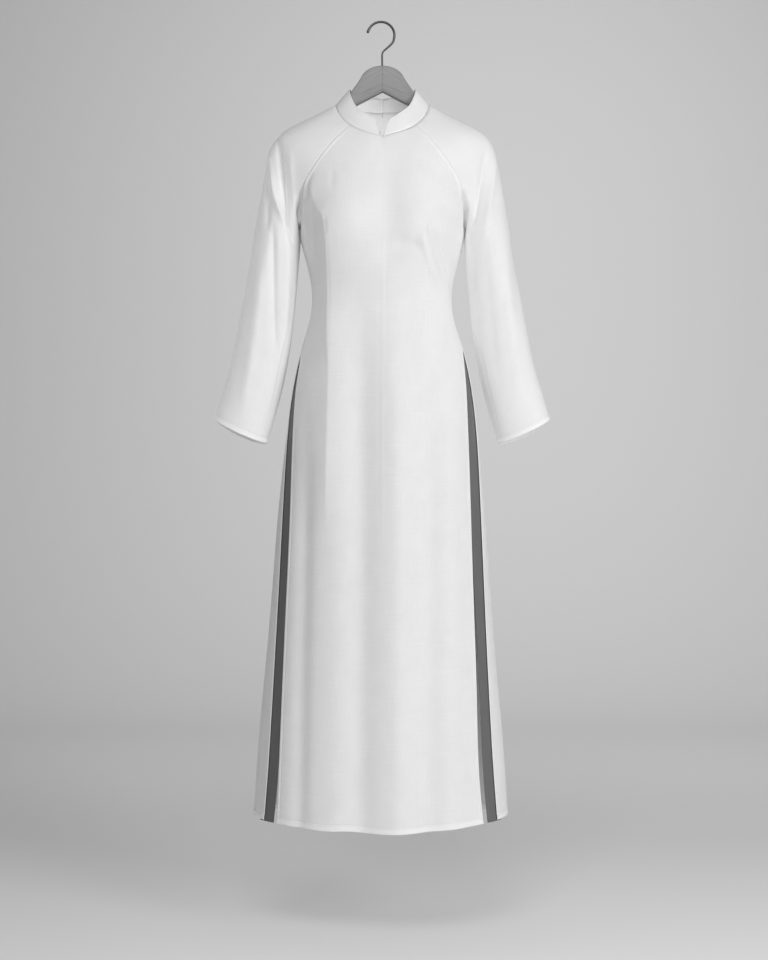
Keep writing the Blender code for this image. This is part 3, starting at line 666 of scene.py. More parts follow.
class Shade:
    """A socket of a material's node tree; sums and products of it add their Math nodes."""

    def __init__(self, tree, socket):
        self.tree = tree
        self.socket = socket

    def node(self, kind, settings=None, inputs=None, output=0):
        """Any other node, with its settings made before its sockets are joined."""
        made = self.tree.nodes.new(kind)
        for name, value in (settings or {}).items():
            if name == "stops":
                for element, (position, grey) in zip(made.color_ramp.elements, value):
                    element.position = position
                    element.color = (grey, grey, grey, 1.0)
            else:
                setattr(made, name, value)
        for name, value in (inputs or {}).items():
            if isinstance(value, Shade):
                self.tree.links.new(value.socket, made.inputs[name])
            else:
                made.inputs[name].default_value = value
        return Shade(self.tree, made.outputs[output])

    def math(self, operation, other=0.0, first=None):
        """One Math node of this socket and another value."""
        inputs = {0: self if first is None else first, 1: other}
        return self.node("ShaderNodeMath", {"operation": operation}, inputs)

    def __add__(self, other):
        return self.math("ADD", other)

    __radd__ = __add__

    def __sub__(self, other):
        return self.math("SUBTRACT", other)

    def __rsub__(self, other):
        return self.math("SUBTRACT", self, first=other)

    def __mul__(self, other):
        return self.math("MULTIPLY", other)

    __rmul__ = __mul__

    def feed(self, shader, name):
        """Joins this socket to a shader's input."""
        self.tree.links.new(self.socket, shader.inputs[name])


def new_finish(name, constants):
    """A material with these constants on its shader: (material, shader, tree)."""
    made = bpy.data.materials.new(name)
    made.use_nodes = True
    shader = made.node_tree.nodes["Principled BSDF"]
    for socket, value in constants.items():
        shader.inputs[socket].default_value = value
    return made, shader, made.node_tree


def grey_colour(share, dark, light):
    """A grey between dark and light by a share."""
    inputs = {0: share, 6: (dark, dark, dark, 1.0), 7: (light, light, light, 1.0)}
    return share.node("ShaderNodeMix", {"data_type": "RGBA"}, inputs, output=2)


def coordinates(tree, kind="Object"):
    """The place on the piece: its own axes, or the cloth's threads as UV; both in metres."""
    return Shade(tree, tree.nodes.new("ShaderNodeTexCoord").outputs[kind])


def parts(place):
    """The X, Y and Z of a place."""
    return [place.node("ShaderNodeSeparateXYZ", None, {0: place}, output=axis) for axis in "XYZ"]


def noise(place, scale, detail, roughness=0.5):
    """Soft noise over a place."""
    inputs = {"Vector": place, "Scale": scale, "Detail": detail, "Roughness": roughness}
    return place.node("ShaderNodeTexNoise", None, inputs)


def stretched_noise(across, along, by_across, by_along, detail=2.0):
    """Soft noise in the cloth, stretched along one of its threads."""
    place = across.node("ShaderNodeCombineXYZ", None, {0: across * by_across, 1: along * by_along})
    return noise(place, 1.0, detail)


def ramp(share, low, high):
    """0 up to a low share, 1 from a high one."""
    return share.node("ShaderNodeValToRGB", {"stops": [(low, 0.0), (high, 1.0)]}, {0: share})


def feed_bump(height, shader, strength, distance):
    """A relief too fine for the mesh, on the shader's normal."""
    inputs = {"Strength": strength, "Distance": distance, "Height": height}
    height.node("ShaderNodeBump", None, inputs).feed(shader, "Normal")


WHITE_THREADS = 7800.0


def white_slub_cloth():
    """Fine white plain weave with a few thicker threads each way, uneven in tone, with a soft sheen; whiter
    where doubled, partly painted highlight.
    """
    made, shader, tree = new_finish("white_slub_cloth", {
        "Subsurface Weight": 0.4,
        "Subsurface Radius": (1.0, 1.0, 1.0),
        "Subsurface Scale": 0.0025,
        "Specular IOR Level": 0.28,
        "Sheen Weight": 0.12,
        "Sheen Roughness": 0.4,
    })
    across, along, _ = parts(coordinates(tree, "UV"))
    weave = (across * WHITE_THREADS).math("SINE") * (along * WHITE_THREADS).math("SINE")
    slub_down = stretched_noise(across, along, 520.0, 26.0)
    slub_across = stretched_noise(across, along, 22.0, 560.0)
    slubs = ramp(slub_down, 0.55, 0.8) + ramp(slub_across, 0.55, 0.8)
    cloud = stretched_noise(across, along, 30.0, 18.0, 5.0)
    threads = slub_down * 0.5 + slub_across * 0.5
    # Whiter where the cloth is doubled: partly the real look of doubled thin cloth, partly painted highlight
    # along hems, slit and collar edges and seams.
    doubled_and_rim_highlight = across.node("ShaderNodeAttribute", {"attribute_name": "doubled_and_rim_highlight"}, output=2)
    tone = threads * 0.55 + cloud * 0.45 + slubs * 0.1 + doubled_and_rim_highlight * 0.55
    grey_colour(tone * 0.65, 0.72, 0.95).feed(shader, "Base Color")
    (0.62 + 0.16 * threads).feed(shader, "Roughness")
    feed_bump(weave * 0.3 + slubs * 0.8 + threads * 0.5, shader, 0.16, 0.00035)
    return made


def sewing_thread():
    """White polyester thread painted grey, darker than the cloth: painted shade for the thin shadow line
    along each stitched hem.
    """
    made, shader, tree = new_finish("thread_with_painted_shade", {"Roughness": 0.55, "Specular IOR Level": 0.3})
    grey_colour(noise(coordinates(tree), 900.0, 1.0), 0.5, 0.72).feed(shader, "Base Color")
    return made


white_cloth = white_slub_cloth()
# The stitches' thread is painted grey: painted shade along the hem and edge lines.
thread_with_painted_shade = sewing_thread()
stitch_nodes = stitch_group()

FRONT_FOLDS = [
    # the left dart: a ridge that bends in from the armhole, follows the sewn line and runs out at the hip
    (-122, -262, -121, -318, -93, -348, 12, 20, 2.8, 1.2),
    (-98, -300, -82, -420, -88, -610, 30, 26, 8.0, 1.0),
    (-86, -450, -88, -640, -94, -900, 26, 26, 6.4, 1.1),
    # the right dart, much softer
    (80, -338, 76, -440, 70, -640, 22, 24, 2.4, 1.1),
    # pull lines from the right bust point
    (74, -345, 84, -400, 104, -450, 4.5, 3.5, 2.8, 1.5),
    (62, -358, 72, -410, 92, -460, 5, 4, 2.0, 1.5),
    (90, -348, 100, -386, 120, -424, 4.5, 4, 2.6, 1.5),
    (83, -350, 93, -396, 112, -438, 3.5, 2.8, -2.0, 1.6),
    (92, -400, 104, -440, 116, -470, 5, 4, 1.4, 1.8),
    # small puckers round the point of each dart
    (-103, -330, -98, -338, -93, -352, 2.6, 3, 1.3, 1.8),
    (-95, -340, -91, -352, -89, -376, 1.8, 1.8, -1.2, 2.0),
    (72, -346, 77, -356, 82, -372, 2.6, 3, 1.2, 1.8),
    (80, -340, 79.5, -352, 79, -366, 1.8, 1.8, -0.9, 2.0),
    # the stitched line of each dart
    (-92, -352, -82, -440, -87, -600, 1.7, 1.7, -0.7, 2.0),
    (79, -362, 74, -460, 71, -612, 1.7, 1.7, -0.55, 2.0),
    # the armhole's drag at each side
    (-122, -256, -127, -285, -129, -322, 5, 5, -3.4, 1.4),
    (-116, -300, -117, -350, -110, -430, 5, 5, -0.8, 2.0),
    (124, -262, 127, -290, 128, -322, 6, 7, -1.8, 1.6),
    (-84, -256, -84, -278, -82, -306, 5, 6, -0.8, 2.0),
    # the hollow between the busts
    (6, -195, 13, -330, 8, -465, 27, 31, -5.0, 2.0),
    # the bust's soft under edge
    (18, -384, 44, -398, 66, -386, 13, 11, -2.4, 2.0),
    # soft lengths of the skirt, out to the hem
    (-40, -360, -30, -900, -38, -1900, 26, 28, -9.5, 2.0),
    (24, -380, 30, -900, 30, -1900, 22, 23, 5.8, 2.0),
    (82, -520, 76, -950, 86, -1900, 20, 20, -5.0, 2.0),
    (114, -460, 114, -950, 124, -1900, 20, 22, 3.4, 2.0),
    (-124, -620, -131, -1000, -142, -1900, 14, 14, -4.2, 2.0),
    (0, -500, -1, -700, 1, -930, 1.6, 1.6, 0.35, 2.0),
]
HEM_WIDTH = 10.0
SLIT_BAND = 4.5
STITCH_LIFT = 0.1
SEAM_TUCK = 0.22
SEAM_SOFTNESS = 1.3
SEAM_RIDGE = 0.55
SEAM_RIDGE_AT = 4.0
SEAM_RIDGE_WIDTH = 2.4
SEAM_ALLOWANCE = 7.0
ALLOWANCE_AND_SEAM_HIGHLIGHT = 0.6
SEAM_EASE_ROWS = 6.0
PRESSED_ROWS = 20.0
ARMPIT_DEPTH = 10.0
ARMPIT_SPREAD = 0.35
FOLDS_STOP = 14.0
HEM_STITCH_INSET = 1.6
SLIT_STITCH_INSET = 1.1


def seam_depth(station):
    """How deep the raglan seam lies: a hair at the shoulder, a real crease just above the underarm."""
    crease = smooth_step((station - 0.45) / 0.2) * smooth_step((1.02 - station) / 0.08)
    return SEAM_TUCK + ARMPIT_DEPTH * crease


def crease_relief(depth, from_edge):
    """The crease along a seam: the deeper, the wider."""
    softness = SEAM_SOFTNESS + np.maximum(depth - SEAM_TUCK, 0.0) * ARMPIT_SPREAD
    return depth * np.exp(-((from_edge / softness) ** 2))


def panel(name, side, folds):
    """A front or back panel with its folds, darts, hems and tucked seams, and the stitches of its hems."""
    points = panel_surface(side)
    across = lengths(points, 1)
    from_edge = np.minimum(across, across[:, [-1]] - across)
    up = lengths(points, 0)
    skirt = HEM_ROWS + SKIRT_ROWS
    underarm = skirt + BODICE_ROWS
    rows = np.arange(len(points))[:, None]
    relief = fold_relief(points, folds)
    if side > 0:
        relief = relief * smooth_step((points[..., 1] - 10) / 30)
    sewn = smooth_step((rows - skirt) / SEAM_EASE_ROWS)
    relief *= 1 - sewn * (1 - smooth_step(from_edge / FOLDS_STOP))
    relief += (1 - sewn) * turned_hem(from_edge, SLIT_BAND)
    relief += turned_hem(up, HEM_WIDTH)
    stations = np.clip((len(points) - 1 - rows) / CAP_ROWS, 0.0, 1.0)
    depth = np.where(rows >= underarm, seam_depth(stations), SEAM_TUCK) * sewn
    relief -= crease_relief(depth, from_edge)
    pressed = smooth_step((rows - underarm) / PRESSED_ROWS)
    pressed = pressed * smooth_step((len(points) - 1 - rows) / SEAM_EASE_ROWS)
    relief += SEAM_RIDGE * pressed * np.exp(-(((from_edge - SEAM_RIDGE_AT) / SEAM_RIDGE_WIDTH) ** 2))
    # Hems and slit edges are painted whiter where turned double: partly doubled cloth, partly painted
    # highlight on their edges.
    doubled_and_rim_highlight = np.maximum((1 - sewn) * doubled_highlight_band(from_edge, SLIT_BAND), doubled_highlight_band(up, HEM_WIDTH))
    # Beside the pressed raglan seams the allowance band is painted whiter: painted highlight for the seam's
    # bright band.
    doubled_and_rim_highlight = np.maximum(doubled_and_rim_highlight, ALLOWANCE_AND_SEAM_HIGHLIGHT * pressed * doubled_highlight_band(from_edge, SEAM_ALLOWANCE))
    relief -= crease_relief(SEAM_TUCK, up[[-1]] - up)
    normals = cloth_normals(points, side > 0)
    cap_stations = np.linspace(1.0, 0.0, CAP_ROWS + 1)
    for column, way in ((0, -1.0), (-1, 1.0)):
        normals[skirt : underarm + 1, column] = (way, 0.0, 0.0)
        normals[underarm:, column] = raglan_normal(cap_stations, side) * (way, 1.0, 1.0)
    hung = hung_aside(points)
    piece = cloth_piece(name + "_cloth", hung, normals, relief, doubled_and_rim_highlight, white_cloth, flip=side > 0)
    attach(piece, "root")
    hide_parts(name + "_panel")
    face = hung + normals * relief[..., None]
    slit_rows = slice(HEM_ROWS // 2, skirt)
    lines = [edge_line(face, normals, HEM_WIDTH - HEM_STITCH_INSET, part=slice(3, -3))]
    for far in (False, True):
        lines.append(edge_line(face, normals, SLIT_BAND - SLIT_STITCH_INSET, axis=1, far=far, part=slit_rows))
    return piece, stitch_rows(name + "_stitches", lines, thread_with_painted_shade)


front_panel, front_stitches = panel("front", -1, FRONT_FOLDS)


# ---------------------------------------------------------------- back panel
# The back is cut like the front with no darts that show, a little wider: below the waist its sides come
# forward round the hips to the slits' edges.
BACK_FOLDS = [
    (-58, -330, -52, -450, -56, -640, 20, 22, 2.0, 1.2),
    (58, -330, 53, -450, 55, -640, 20, 20, 2.0, 1.2),
    (-100, -500, -104, -900, -118, -1375, 26, 26, 2.2, 2.0),
    (-48, -560, -44, -950, -52, -1375, 24, 24, -2.0, 2.0),
    (6, -520, 2, -950, 8, -1375, 26, 26, 2.0, 2.0),
    (58, -560, 62, -950, 58, -1375, 24, 24, -2.0, 2.0),
    (112, -520, 110, -950, 124, -1375, 26, 26, 2.2, 2.0),
    (-30, -215, -70, -250, -112, -320, 10, 12, 1.0, 2.0),
    (26, -218, 66, -255, 110, -322, 12, 10, 1.0, 2.0),
]
back_panel, back_stitches = panel("back", 1, BACK_FOLDS)


# ---------------------------------------------------------------- sleeves
# Two raglan sleeves, each cut in one with its shoulder, closed by one underarm seam and hemmed narrowly at
# the wrist. They hang a little forward, with drag folds from the shoulder point to the underarm.
SLEEVE = table(
    (
        "station", "inner_x", "inner_z", "outer_x", "outer_z", "middle_y", "half_depth", "front_dip",
        "back_dip",
    ),
    [
        (0.00, 139.4, UNDERARM_Z, 217.5, -350.0, 0, 56, 0, 0),
        (0.20, 144.8, -439.0, 227.0, -415.0, -2, 51, 0, 0),
        (0.45, 153.4, -527.0, 243.0, -503.0, -5, 45, 1, 2),
        (0.70, 167.5, -614.0, 260.0, -589.0, -9, 40, 3, 5),
        (0.85, 180.5, -666.0, 272.6, -633.0, -12, 37, 4, 8),
        (1.00, 196.0, -718.0, 285.0, -677.0, -15, 34, 5, 10),
    ],
)
sleeve = curves_of(SLEEVE, "station")
SLEEVE_ROUND = 200
SLEEVE_ROWS = 110
CUFF_ZONE = 0.035
CUFF_ROWS = 10
CUFF_HEM = 8.5
JOIN_ROWS = 16
JOIN_PASSES = 90
FOLDS_STOP_CAP = 12.0
CUFF_STITCH_INSET = 1.5
SEAM_LEAN = 0.62
SEAM_HANDLE = 0.5
RIDGE_HANDLE = 0.62
HALF_RING_HANDLE = 4 / 3
NECK_FADE = 0.35


def bezier(p0, p1, p2, p3, share):
    """Points of the cubic curve with these ends and handles."""
    rest = 1 - share
    return rest**3 * p0 + 3 * rest**2 * share * p1 + 3 * rest * share**2 * p2 + share**3 * p3


def cap_half(station, side, shares):
    """A cap section from the raglan seam at share 0 to the shoulder's ridge at share 1."""
    seam = raglan_seam(station, side)
    ridge = np.array([cap["ridge_x"](station), cap["ridge_y"](station), cap["ridge_z"](station)])
    inside = min(seam[0], float(body["half_width"](seam[2])) - SIDE_MARGIN)
    by_x, by_z = cloth_slopes(inside, seam[2], side)
    run = ridge - seam
    rise = np.clip(SEAM_LEAN * (by_x * run[0] + by_z * run[2]), -abs(run[1]), abs(run[1]))
    ring = smooth_step((station - 0.5) / 0.5)
    reach = (float(sleeve["half_depth"](0.0)) - abs(run[1]) / 2) * HALF_RING_HANDLE
    open_start = seam + SEAM_HANDLE * np.array([run[0], rise, run[2]])
    closed_start = seam + np.array([0.0, side * reach, 0.0])
    open_end = ridge + np.array([0.0, RIDGE_HANDLE * (seam[1] - ridge[1]), 0.0])
    closed_end = ridge + np.array([0.0, side * reach, 0.0])
    start = open_start + (closed_start - open_start) * ring
    end = open_end + (closed_end - open_end) * ring
    return bezier(seam, start, end, ridge, shares[:, None])


def whole_cap(station):
    """The cap's front half and back half as one line, with the ridge's point once."""
    shares = np.linspace(0.0, 1.0, SLEEVE_ROUND // 2 + 1)
    return np.vstack([cap_half(station, -1, shares), cap_half(station, 1, shares)[-2::-1]])


def cap_angles():
    """The angles round the neck at which the sleeve's top row stands."""
    shares = np.linspace(0.0, 1.0, SLEEVE_ROUND // 2 + 1)
    front = RAGLAN_FRONT_ANGLE + (90 - RAGLAN_FRONT_ANGLE) * shares
    back = 90 + (RAGLAN_BACK_ANGLE - 90) * shares[1:]
    return np.concatenate([front, back])


def cap_section(station):
    """One section of the cap at +X, from the front raglan seam over the ridge to the back seam."""
    fade = smooth_step(1 - station / NECK_FADE)
    return whole_cap(station) + (neck_seam(cap_angles()) - whole_cap(0.0)) * fade


def sleeve_section(station):
    """A closed ring of the sleeve, from its inner edge round the front to the back."""
    inner = np.array([sleeve["inner_x"](station), sleeve["middle_y"](station), sleeve["inner_z"](station)])
    outer = np.array([sleeve["outer_x"](station), sleeve["middle_y"](station), sleeve["outer_z"](station)])
    depth = float(sleeve["half_depth"](station)) * HALF_RING_HANDLE
    shares = np.linspace(0.0, 1.0, SLEEVE_ROUND // 2 + 1)[:, None]
    forward = np.array([0.0, -depth, 0.0])
    front = bezier(inner, inner + forward, outer + forward, outer, shares)
    back = bezier(inner, inner - forward, outer - forward, outer, shares)
    dip = np.sin(np.pi * shares) * unit(np.cross(outer - inner, forward))
    front = front + dip * sleeve["front_dip"](station)
    back = back + dip * sleeve["back_dip"](station)
    return np.vstack([front, back[-2::-1]])


def raglan_sleeve(name, way, folds, back_folds):
    """A sleeve: its cap between the raglan seams, then a tube closed by the underarm seam."""
    stations = np.linspace(0.0, 1.0, CAP_ROWS + 1)
    tube = np.linspace(0.0, 1.0 - CUFF_ZONE, SLEEVE_ROWS + 1)[1:]
    cuff = np.linspace(1.0 - CUFF_ZONE, 1.0, CUFF_ROWS + 1)[1:]
    sections = [cap_section(station) for station in stations]
    sections += [sleeve_section(station) for station in np.concatenate([tube, cuff])]
    points = np.array(sections)
    span = slice(CAP_ROWS - JOIN_ROWS, CAP_ROWS + JOIN_ROWS + 1)
    for _ in range(JOIN_PASSES):
        band = points[span]
        soft = (band[:-2] + 2 * band[1:-1] + band[2:]) / 4
        points[span][1:-1, 1:-1] = soft[:, 1:-1]
    merged = np.arange(points[..., 0].size).reshape(points.shape[:2])
    merged[CAP_ROWS:, -1] = merged[CAP_ROWS:, 0]
    normals = cloth_normals(points, True, merged)
    normals[: CAP_ROWS + 1, 0] = raglan_normal(stations, -1)
    normals[: CAP_ROWS + 1, -1] = raglan_normal(stations, 1)
    seen = points * (way, 1.0, 1.0)
    columns = np.arange(SLEEVE_ROUND + 1)[None, :]
    rows = np.arange(len(points))[:, None]
    front_share = smooth_step((SLEEVE_ROUND / 2 - columns) / 12.0 + 0.5)
    relief = fold_relief(seen, folds) * front_share + fold_relief(seen, back_folds) * (1 - front_share)
    around = lengths(points, 1)
    from_edge = np.minimum(around, around[:, [-1]] - around)
    on_cap = rows <= CAP_ROWS
    relief *= np.where(on_cap, smooth_step(from_edge / FOLDS_STOP_CAP), 1.0)
    reach = np.where(on_cap, rows / CAP_ROWS, 1.0)
    depth = np.where(on_cap, seam_depth(reach), SEAM_TUCK)
    relief -= crease_relief(depth, from_edge)
    down = lengths(points, 0)
    relief -= crease_relief(SEAM_TUCK, down)
    from_cuff = down[[-1]] - down
    relief += turned_hem(from_cuff, CUFF_HEM)
    # The cuff's hem is painted whiter: partly doubled cloth, partly painted highlight on its edge.
    doubled_and_rim_highlight = doubled_highlight_band(from_cuff, CUFF_HEM)
    points = seen
    normals = normals * (way, 1.0, 1.0)
    piece = cloth_piece(name, points, normals, relief, doubled_and_rim_highlight, white_cloth, flip=way > 0, merged=merged)
    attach(piece, "root")
    return piece, points + normals * relief[..., None], normals


LEFT_SLEEVE_FOLDS = [
    # the deep drag from the shoulder point to the underarm, between two ridges
    (-180, -168, -171, -300, -146, -402, 3.5, 3.5, -12.0, 1.2),
    (-191, -198, -196, -300, -155, -364, 5, 5, 5.2, 1.8),
    (-158, -214, -152, -280, -146, -344, 5, 5, 2.6, 2.0),
    (-192, -225, -195, -300, -194, -372, 5, 6, -4.4, 1.8),
    # lengths down the arm
    (-160, -355, -160, -450, -166, -600, 7, 7, 4.2, 2.0),
    (-184, -335, -184, -450, -176, -620, 5, 6, -6.0, 1.5),
    (-200, -370, -210, -520, -240, -690, 10, 11, 3.4, 2.0),
    (-152, -440, -158, -540, -186, -690, 5, 6, -1.6, 2.0),
    # the underarm seam, which has turned a little to the front
    (-158, -505, -171, -606, -203, -716, 1.5, 1.5, -0.8, 2.0),
]
RIGHT_SLEEVE_FOLDS = [
    (178, -204, 168, -298, 147, -370, 4, 5.5, -5.4, 1.3),
    (192, -214, 188, -300, 166, -388, 6, 7, 3.6, 2.0),
    (162, -240, 160, -300, 150, -350, 5, 5, 1.4, 2.0),
    (172, -380, 178, -500, 198, -640, 9, 9, -1.8, 2.0),
    (204, -398, 214, -500, 234, -660, 10, 11, 2.0, 2.0),
    (216, -360, 222, -430, 240, -560, 8, 8, -1.4, 2.0),
    (158, -505, 171, -606, 203, -716, 1.5, 1.5, -0.8, 2.0),
]
LEFT_SLEEVE_BACK_FOLDS = [
    (-180, -212, -172, -295, -147, -362, 14, 14, -4.0, 1.2),
    (-194, -240, -192, -320, -186, -420, 9, 9, 1.8, 2.0),
    (-190, -420, -198, -520, -220, -650, 12, 12, -1.8, 2.0),
]
RIGHT_SLEEVE_BACK_FOLDS = [
    (176, -210, 170, -292, 147, -362, 14, 14, -4.2, 1.2),
    (192, -236, 194, -318, 184, -424, 9, 9, 1.8, 2.0),
    (196, -414, 200, -524, 224, -648, 12, 12, -1.8, 2.0),
]
SLEEVE_FOLDS = {
    "left": (-1, LEFT_SLEEVE_FOLDS, LEFT_SLEEVE_BACK_FOLDS),
    "right": (1, RIGHT_SLEEVE_FOLDS, RIGHT_SLEEVE_BACK_FOLDS),
}
sleeves = []
for side_name, (way, folds, back_folds) in SLEEVE_FOLDS.items():
    piece, face, out = raglan_sleeve("sleeve_cloth_" + side_name, way, folds, back_folds)
    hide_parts("sleeve_" + side_name)
    cuff_line = edge_line(face, out, CUFF_HEM - CUFF_STITCH_INSET, far=True)
    cuff_stitches = stitch_rows("cuff_stitches_" + side_name, [cuff_line], thread_with_painted_shade)
    sleeves.append(piece)

# A weak fill from the far left and a little behind reaches the left side of each sleeve.
left_fill = add_light("left_fill", (-2.4, 0.75, -0.9), (0.0, 0.0, -0.45), (0.8, 1.2), 17.0)
keep_light_on(left_fill, sleeves, [sweep])


# ---------------------------------------------------------------- collar
# A standing collar in two stiffened halves of the same cloth. They curve apart above the front notch, and
# meet at a hair's split behind. A narrow turned edge runs along the top and down the notch.
COLLAR_WALL = 1.8
COLLAR_HALF_WIDTH = 57.0
COLLAR_FRONT = 45.0
COLLAR_BACK = 44.0
NOTCH_HALF_WIDTH = 2.9
NOTCH_FLARE = 6.0
NOTCH_CURVE = 1.5
BACK_SPLIT_HALF = 0.35
COLLAR_COLUMNS = 150
COLLAR_ROWS = 30
COLLAR_EDGE = 2.4
COLLAR_STITCH_INSET = 0.3
NOTCH_CORNER = 11.0
SPLIT_CORNER = 4.0
CORNER_SHARE = 0.9


def collar_top(degrees):
    """The collar's top edge at an angle from the front centre."""
    angle = np.radians(degrees)
    reach = np.where(np.cos(angle) > 0, COLLAR_FRONT, COLLAR_BACK)
    return np.stack([COLLAR_HALF_WIDTH * np.sin(angle), -reach * np.cos(angle), neck["top"](degrees)], -1)


def rounded_corner(degrees, end, radius):
    """How far a rounded corner takes the band down near the first or the last of the angles."""
    reach = np.linalg.norm(neck_seam(degrees) - neck_seam(degrees[end]), axis=-1)
    return radius - np.sqrt(np.maximum(radius**2 - np.maximum(radius - reach, 0.0) ** 2, 0.0))


def collar_half(name, way):
    """Half of the standing band, a little proud along its turned edge."""
    rows = []
    for up in np.linspace(0.0, 1.0, COLLAR_ROWS + 1):
        half_width = NECK_HALF_WIDTH + (COLLAR_HALF_WIDTH - NECK_HALF_WIDTH) * up
        first = np.degrees(np.arcsin((NOTCH_HALF_WIDTH + NOTCH_FLARE * up**NOTCH_CURVE) / half_width))
        last = 180 - np.degrees(np.arcsin(BACK_SPLIT_HALF / half_width))
        even = (crowded(COLLAR_COLUMNS) + 1) / 2
        degrees = first + (last - first) * even
        foot = neck_seam(degrees)
        slope = collar_top(degrees) - foot
        corner = rounded_corner(degrees, 0, NOTCH_CORNER) + rounded_corner(degrees, -1, SPLIT_CORNER)
        share = up * (1 - CORNER_SHARE * corner / np.linalg.norm(slope, axis=-1))
        rows.append(foot + slope * share[:, None])
    points = np.array(rows)
    normals = cloth_normals(points, False)
    across = lengths(points, 1)
    up = lengths(points, 0)
    from_edge = np.minimum(up[[-1]] - up, np.minimum(across, across[:, [-1]] - across))
    relief = turned_hem(from_edge, COLLAR_EDGE, lift=0.55, groove=0.45)
    # The turned edge is painted whiter: partly doubled cloth, partly painted highlight along the collar's
    # rim.
    doubled_and_rim_highlight = doubled_highlight_band(from_edge, COLLAR_EDGE)
    relief -= crease_relief(SEAM_TUCK, up)
    points = points * (way, 1.0, 1.0)
    normals = normals * (way, 1.0, 1.0)
    piece = cloth_piece(name, points, normals, relief, doubled_and_rim_highlight, white_cloth, wall=COLLAR_WALL, flip=way < 0)
    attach(piece, "root")
    return piece, points + normals * relief[..., None], normals


collars = []
for side_name, way in (("left", -1), ("right", 1)):
    piece, face, out = collar_half("collar_cloth_" + side_name, way)
    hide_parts("collar_" + side_name)
    collar_stitches = stitch_rows(
        "collar_stitches_" + side_name,
        [edge_line(face, out, COLLAR_EDGE - COLLAR_STITCH_INSET, far=True, part=slice(8, -3))],
        thread_with_painted_shade, step=2.4, length=1.7, width=0.35,
    )
    collars.append(piece)


# ---------------------------------------------------------------- closures
# A small pearly bead closes the notch at its foot. Behind, a tiny white-coated hook and its loop close the
# top of the back opening.
def pearl_bead():
    """Smooth, slightly pearly white."""
    made, shader, tree = new_finish("pearl_bead", {"Coat Weight": 0.6, "Coat Roughness": 0.15})
    cloud = noise(coordinates(tree), 700.0, 2.0)
    grey_colour(cloud, 0.8, 0.95).feed(shader, "Base Color")
    (0.2 + 0.1 * cloud).feed(shader, "Roughness")
    return made


def coated_wire():
    """Fine wire with a worn white coat."""
    made, shader, tree = new_finish("coated_wire", {"Coat Roughness": 0.3})
    worn = noise(coordinates(tree), 1200.0, 2.0)
    grey_colour(worn, 0.25, 0.5).feed(shader, "Base Color")
    (0.35 + 0.2 * worn).feed(shader, "Roughness")
    return made


closure_wire = coated_wire()
closures = {"front_bead": pearl_bead(), "back_hook": closure_wire, "back_loop": closure_wire}
for node_name, finish in closures.items():
    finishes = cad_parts[node_name].data.materials
    finishes.clear()
    finishes.append(finish)


# ---------------------------------------------------------------- slit insets
# A dark grey strip is sewn inside each of the back panel's slit edges and reaches forward under the
# front panel's edge, with its own narrow hem.
INSET_WALL = 1.0
INSET_LAYER = 2.4
INSET_TUCK = 9.0
INSET_COLUMNS = 26
INSET_ROWS = 170
INSET_TOP_GAP = 6.0
INSET_HEM = 6.0
INSET_SIDE_GAP = 0.4
GREY_THREADS = 6200.0


def dark_lining_cloth():
    """Dark grey plain weave, matt."""
    made, shader, tree = new_finish("dark_grey_cloth", {"Specular IOR Level": 0.25, "Sheen Weight": 0.15})
    across, along, _ = parts(coordinates(tree, "UV"))
    weave = (across * GREY_THREADS).math("SINE") * (along * GREY_THREADS).math("SINE")
    threads = stretched_noise(across, along, 1100.0, 40.0)
    cloud = stretched_noise(across, along, 30.0, 12.0)
    grey_colour(threads * 0.5 + cloud * 0.5, 0.10, 0.17).feed(shader, "Base Color")
    (0.7 + 0.1 * threads).feed(shader, "Roughness")
    feed_bump(weave + threads, shader, 0.2, 0.0003)
    return made


dark_cloth = dark_lining_cloth()


def slit_inset(name, way):
    """The dark strip, from under the front panel's edge to inside the back panel's."""
    rows = []
    for level in np.linspace(HEM_SIDE_Z, SLIT_TOP_Z - INSET_TOP_GAP, INSET_ROWS + 1):
        half_width = float(body["half_width"](level))
        front = float(slit["inset_edge"](level))
        back = min(float(slit["back_edge"](level)) + INSET_TUCK, half_width - INSET_SIDE_GAP)
        angles = np.linspace(np.arcsin(front / half_width), np.arcsin(back / half_width), INSET_COLUMNS + 1)
        x = half_width * np.sin(angles)
        z = np.full(x.shape, level)
        out = cloth_normal(np.minimum(x, half_width - SIDE_MARGIN), z, -1)
        rows.append(np.stack([x, figure_y(x, z, -1), z], -1) - out * INSET_LAYER)
    points = np.array(rows)
    normals = cloth_normals(points, False)
    hem = np.minimum(lengths(points, 1), lengths(points, 0))
    relief = turned_hem(hem, INSET_HEM, lift=0.2, groove=0.25)
    doubled_and_rim_highlight = doubled_highlight_band(hem, INSET_HEM)
    points = hung_aside(points * (way, 1.0, 1.0))
    normals = normals * (way, 1.0, 1.0)
    piece = cloth_piece(name, points, normals, relief, doubled_and_rim_highlight, dark_cloth, wall=INSET_WALL, flip=way < 0)
    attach(piece, "root")
    return piece


for side_name, way in (("left", -1), ("right", 1)):
    piece = slit_inset("inset_cloth_" + side_name, way)
    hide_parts("slit_inset_" + side_name)


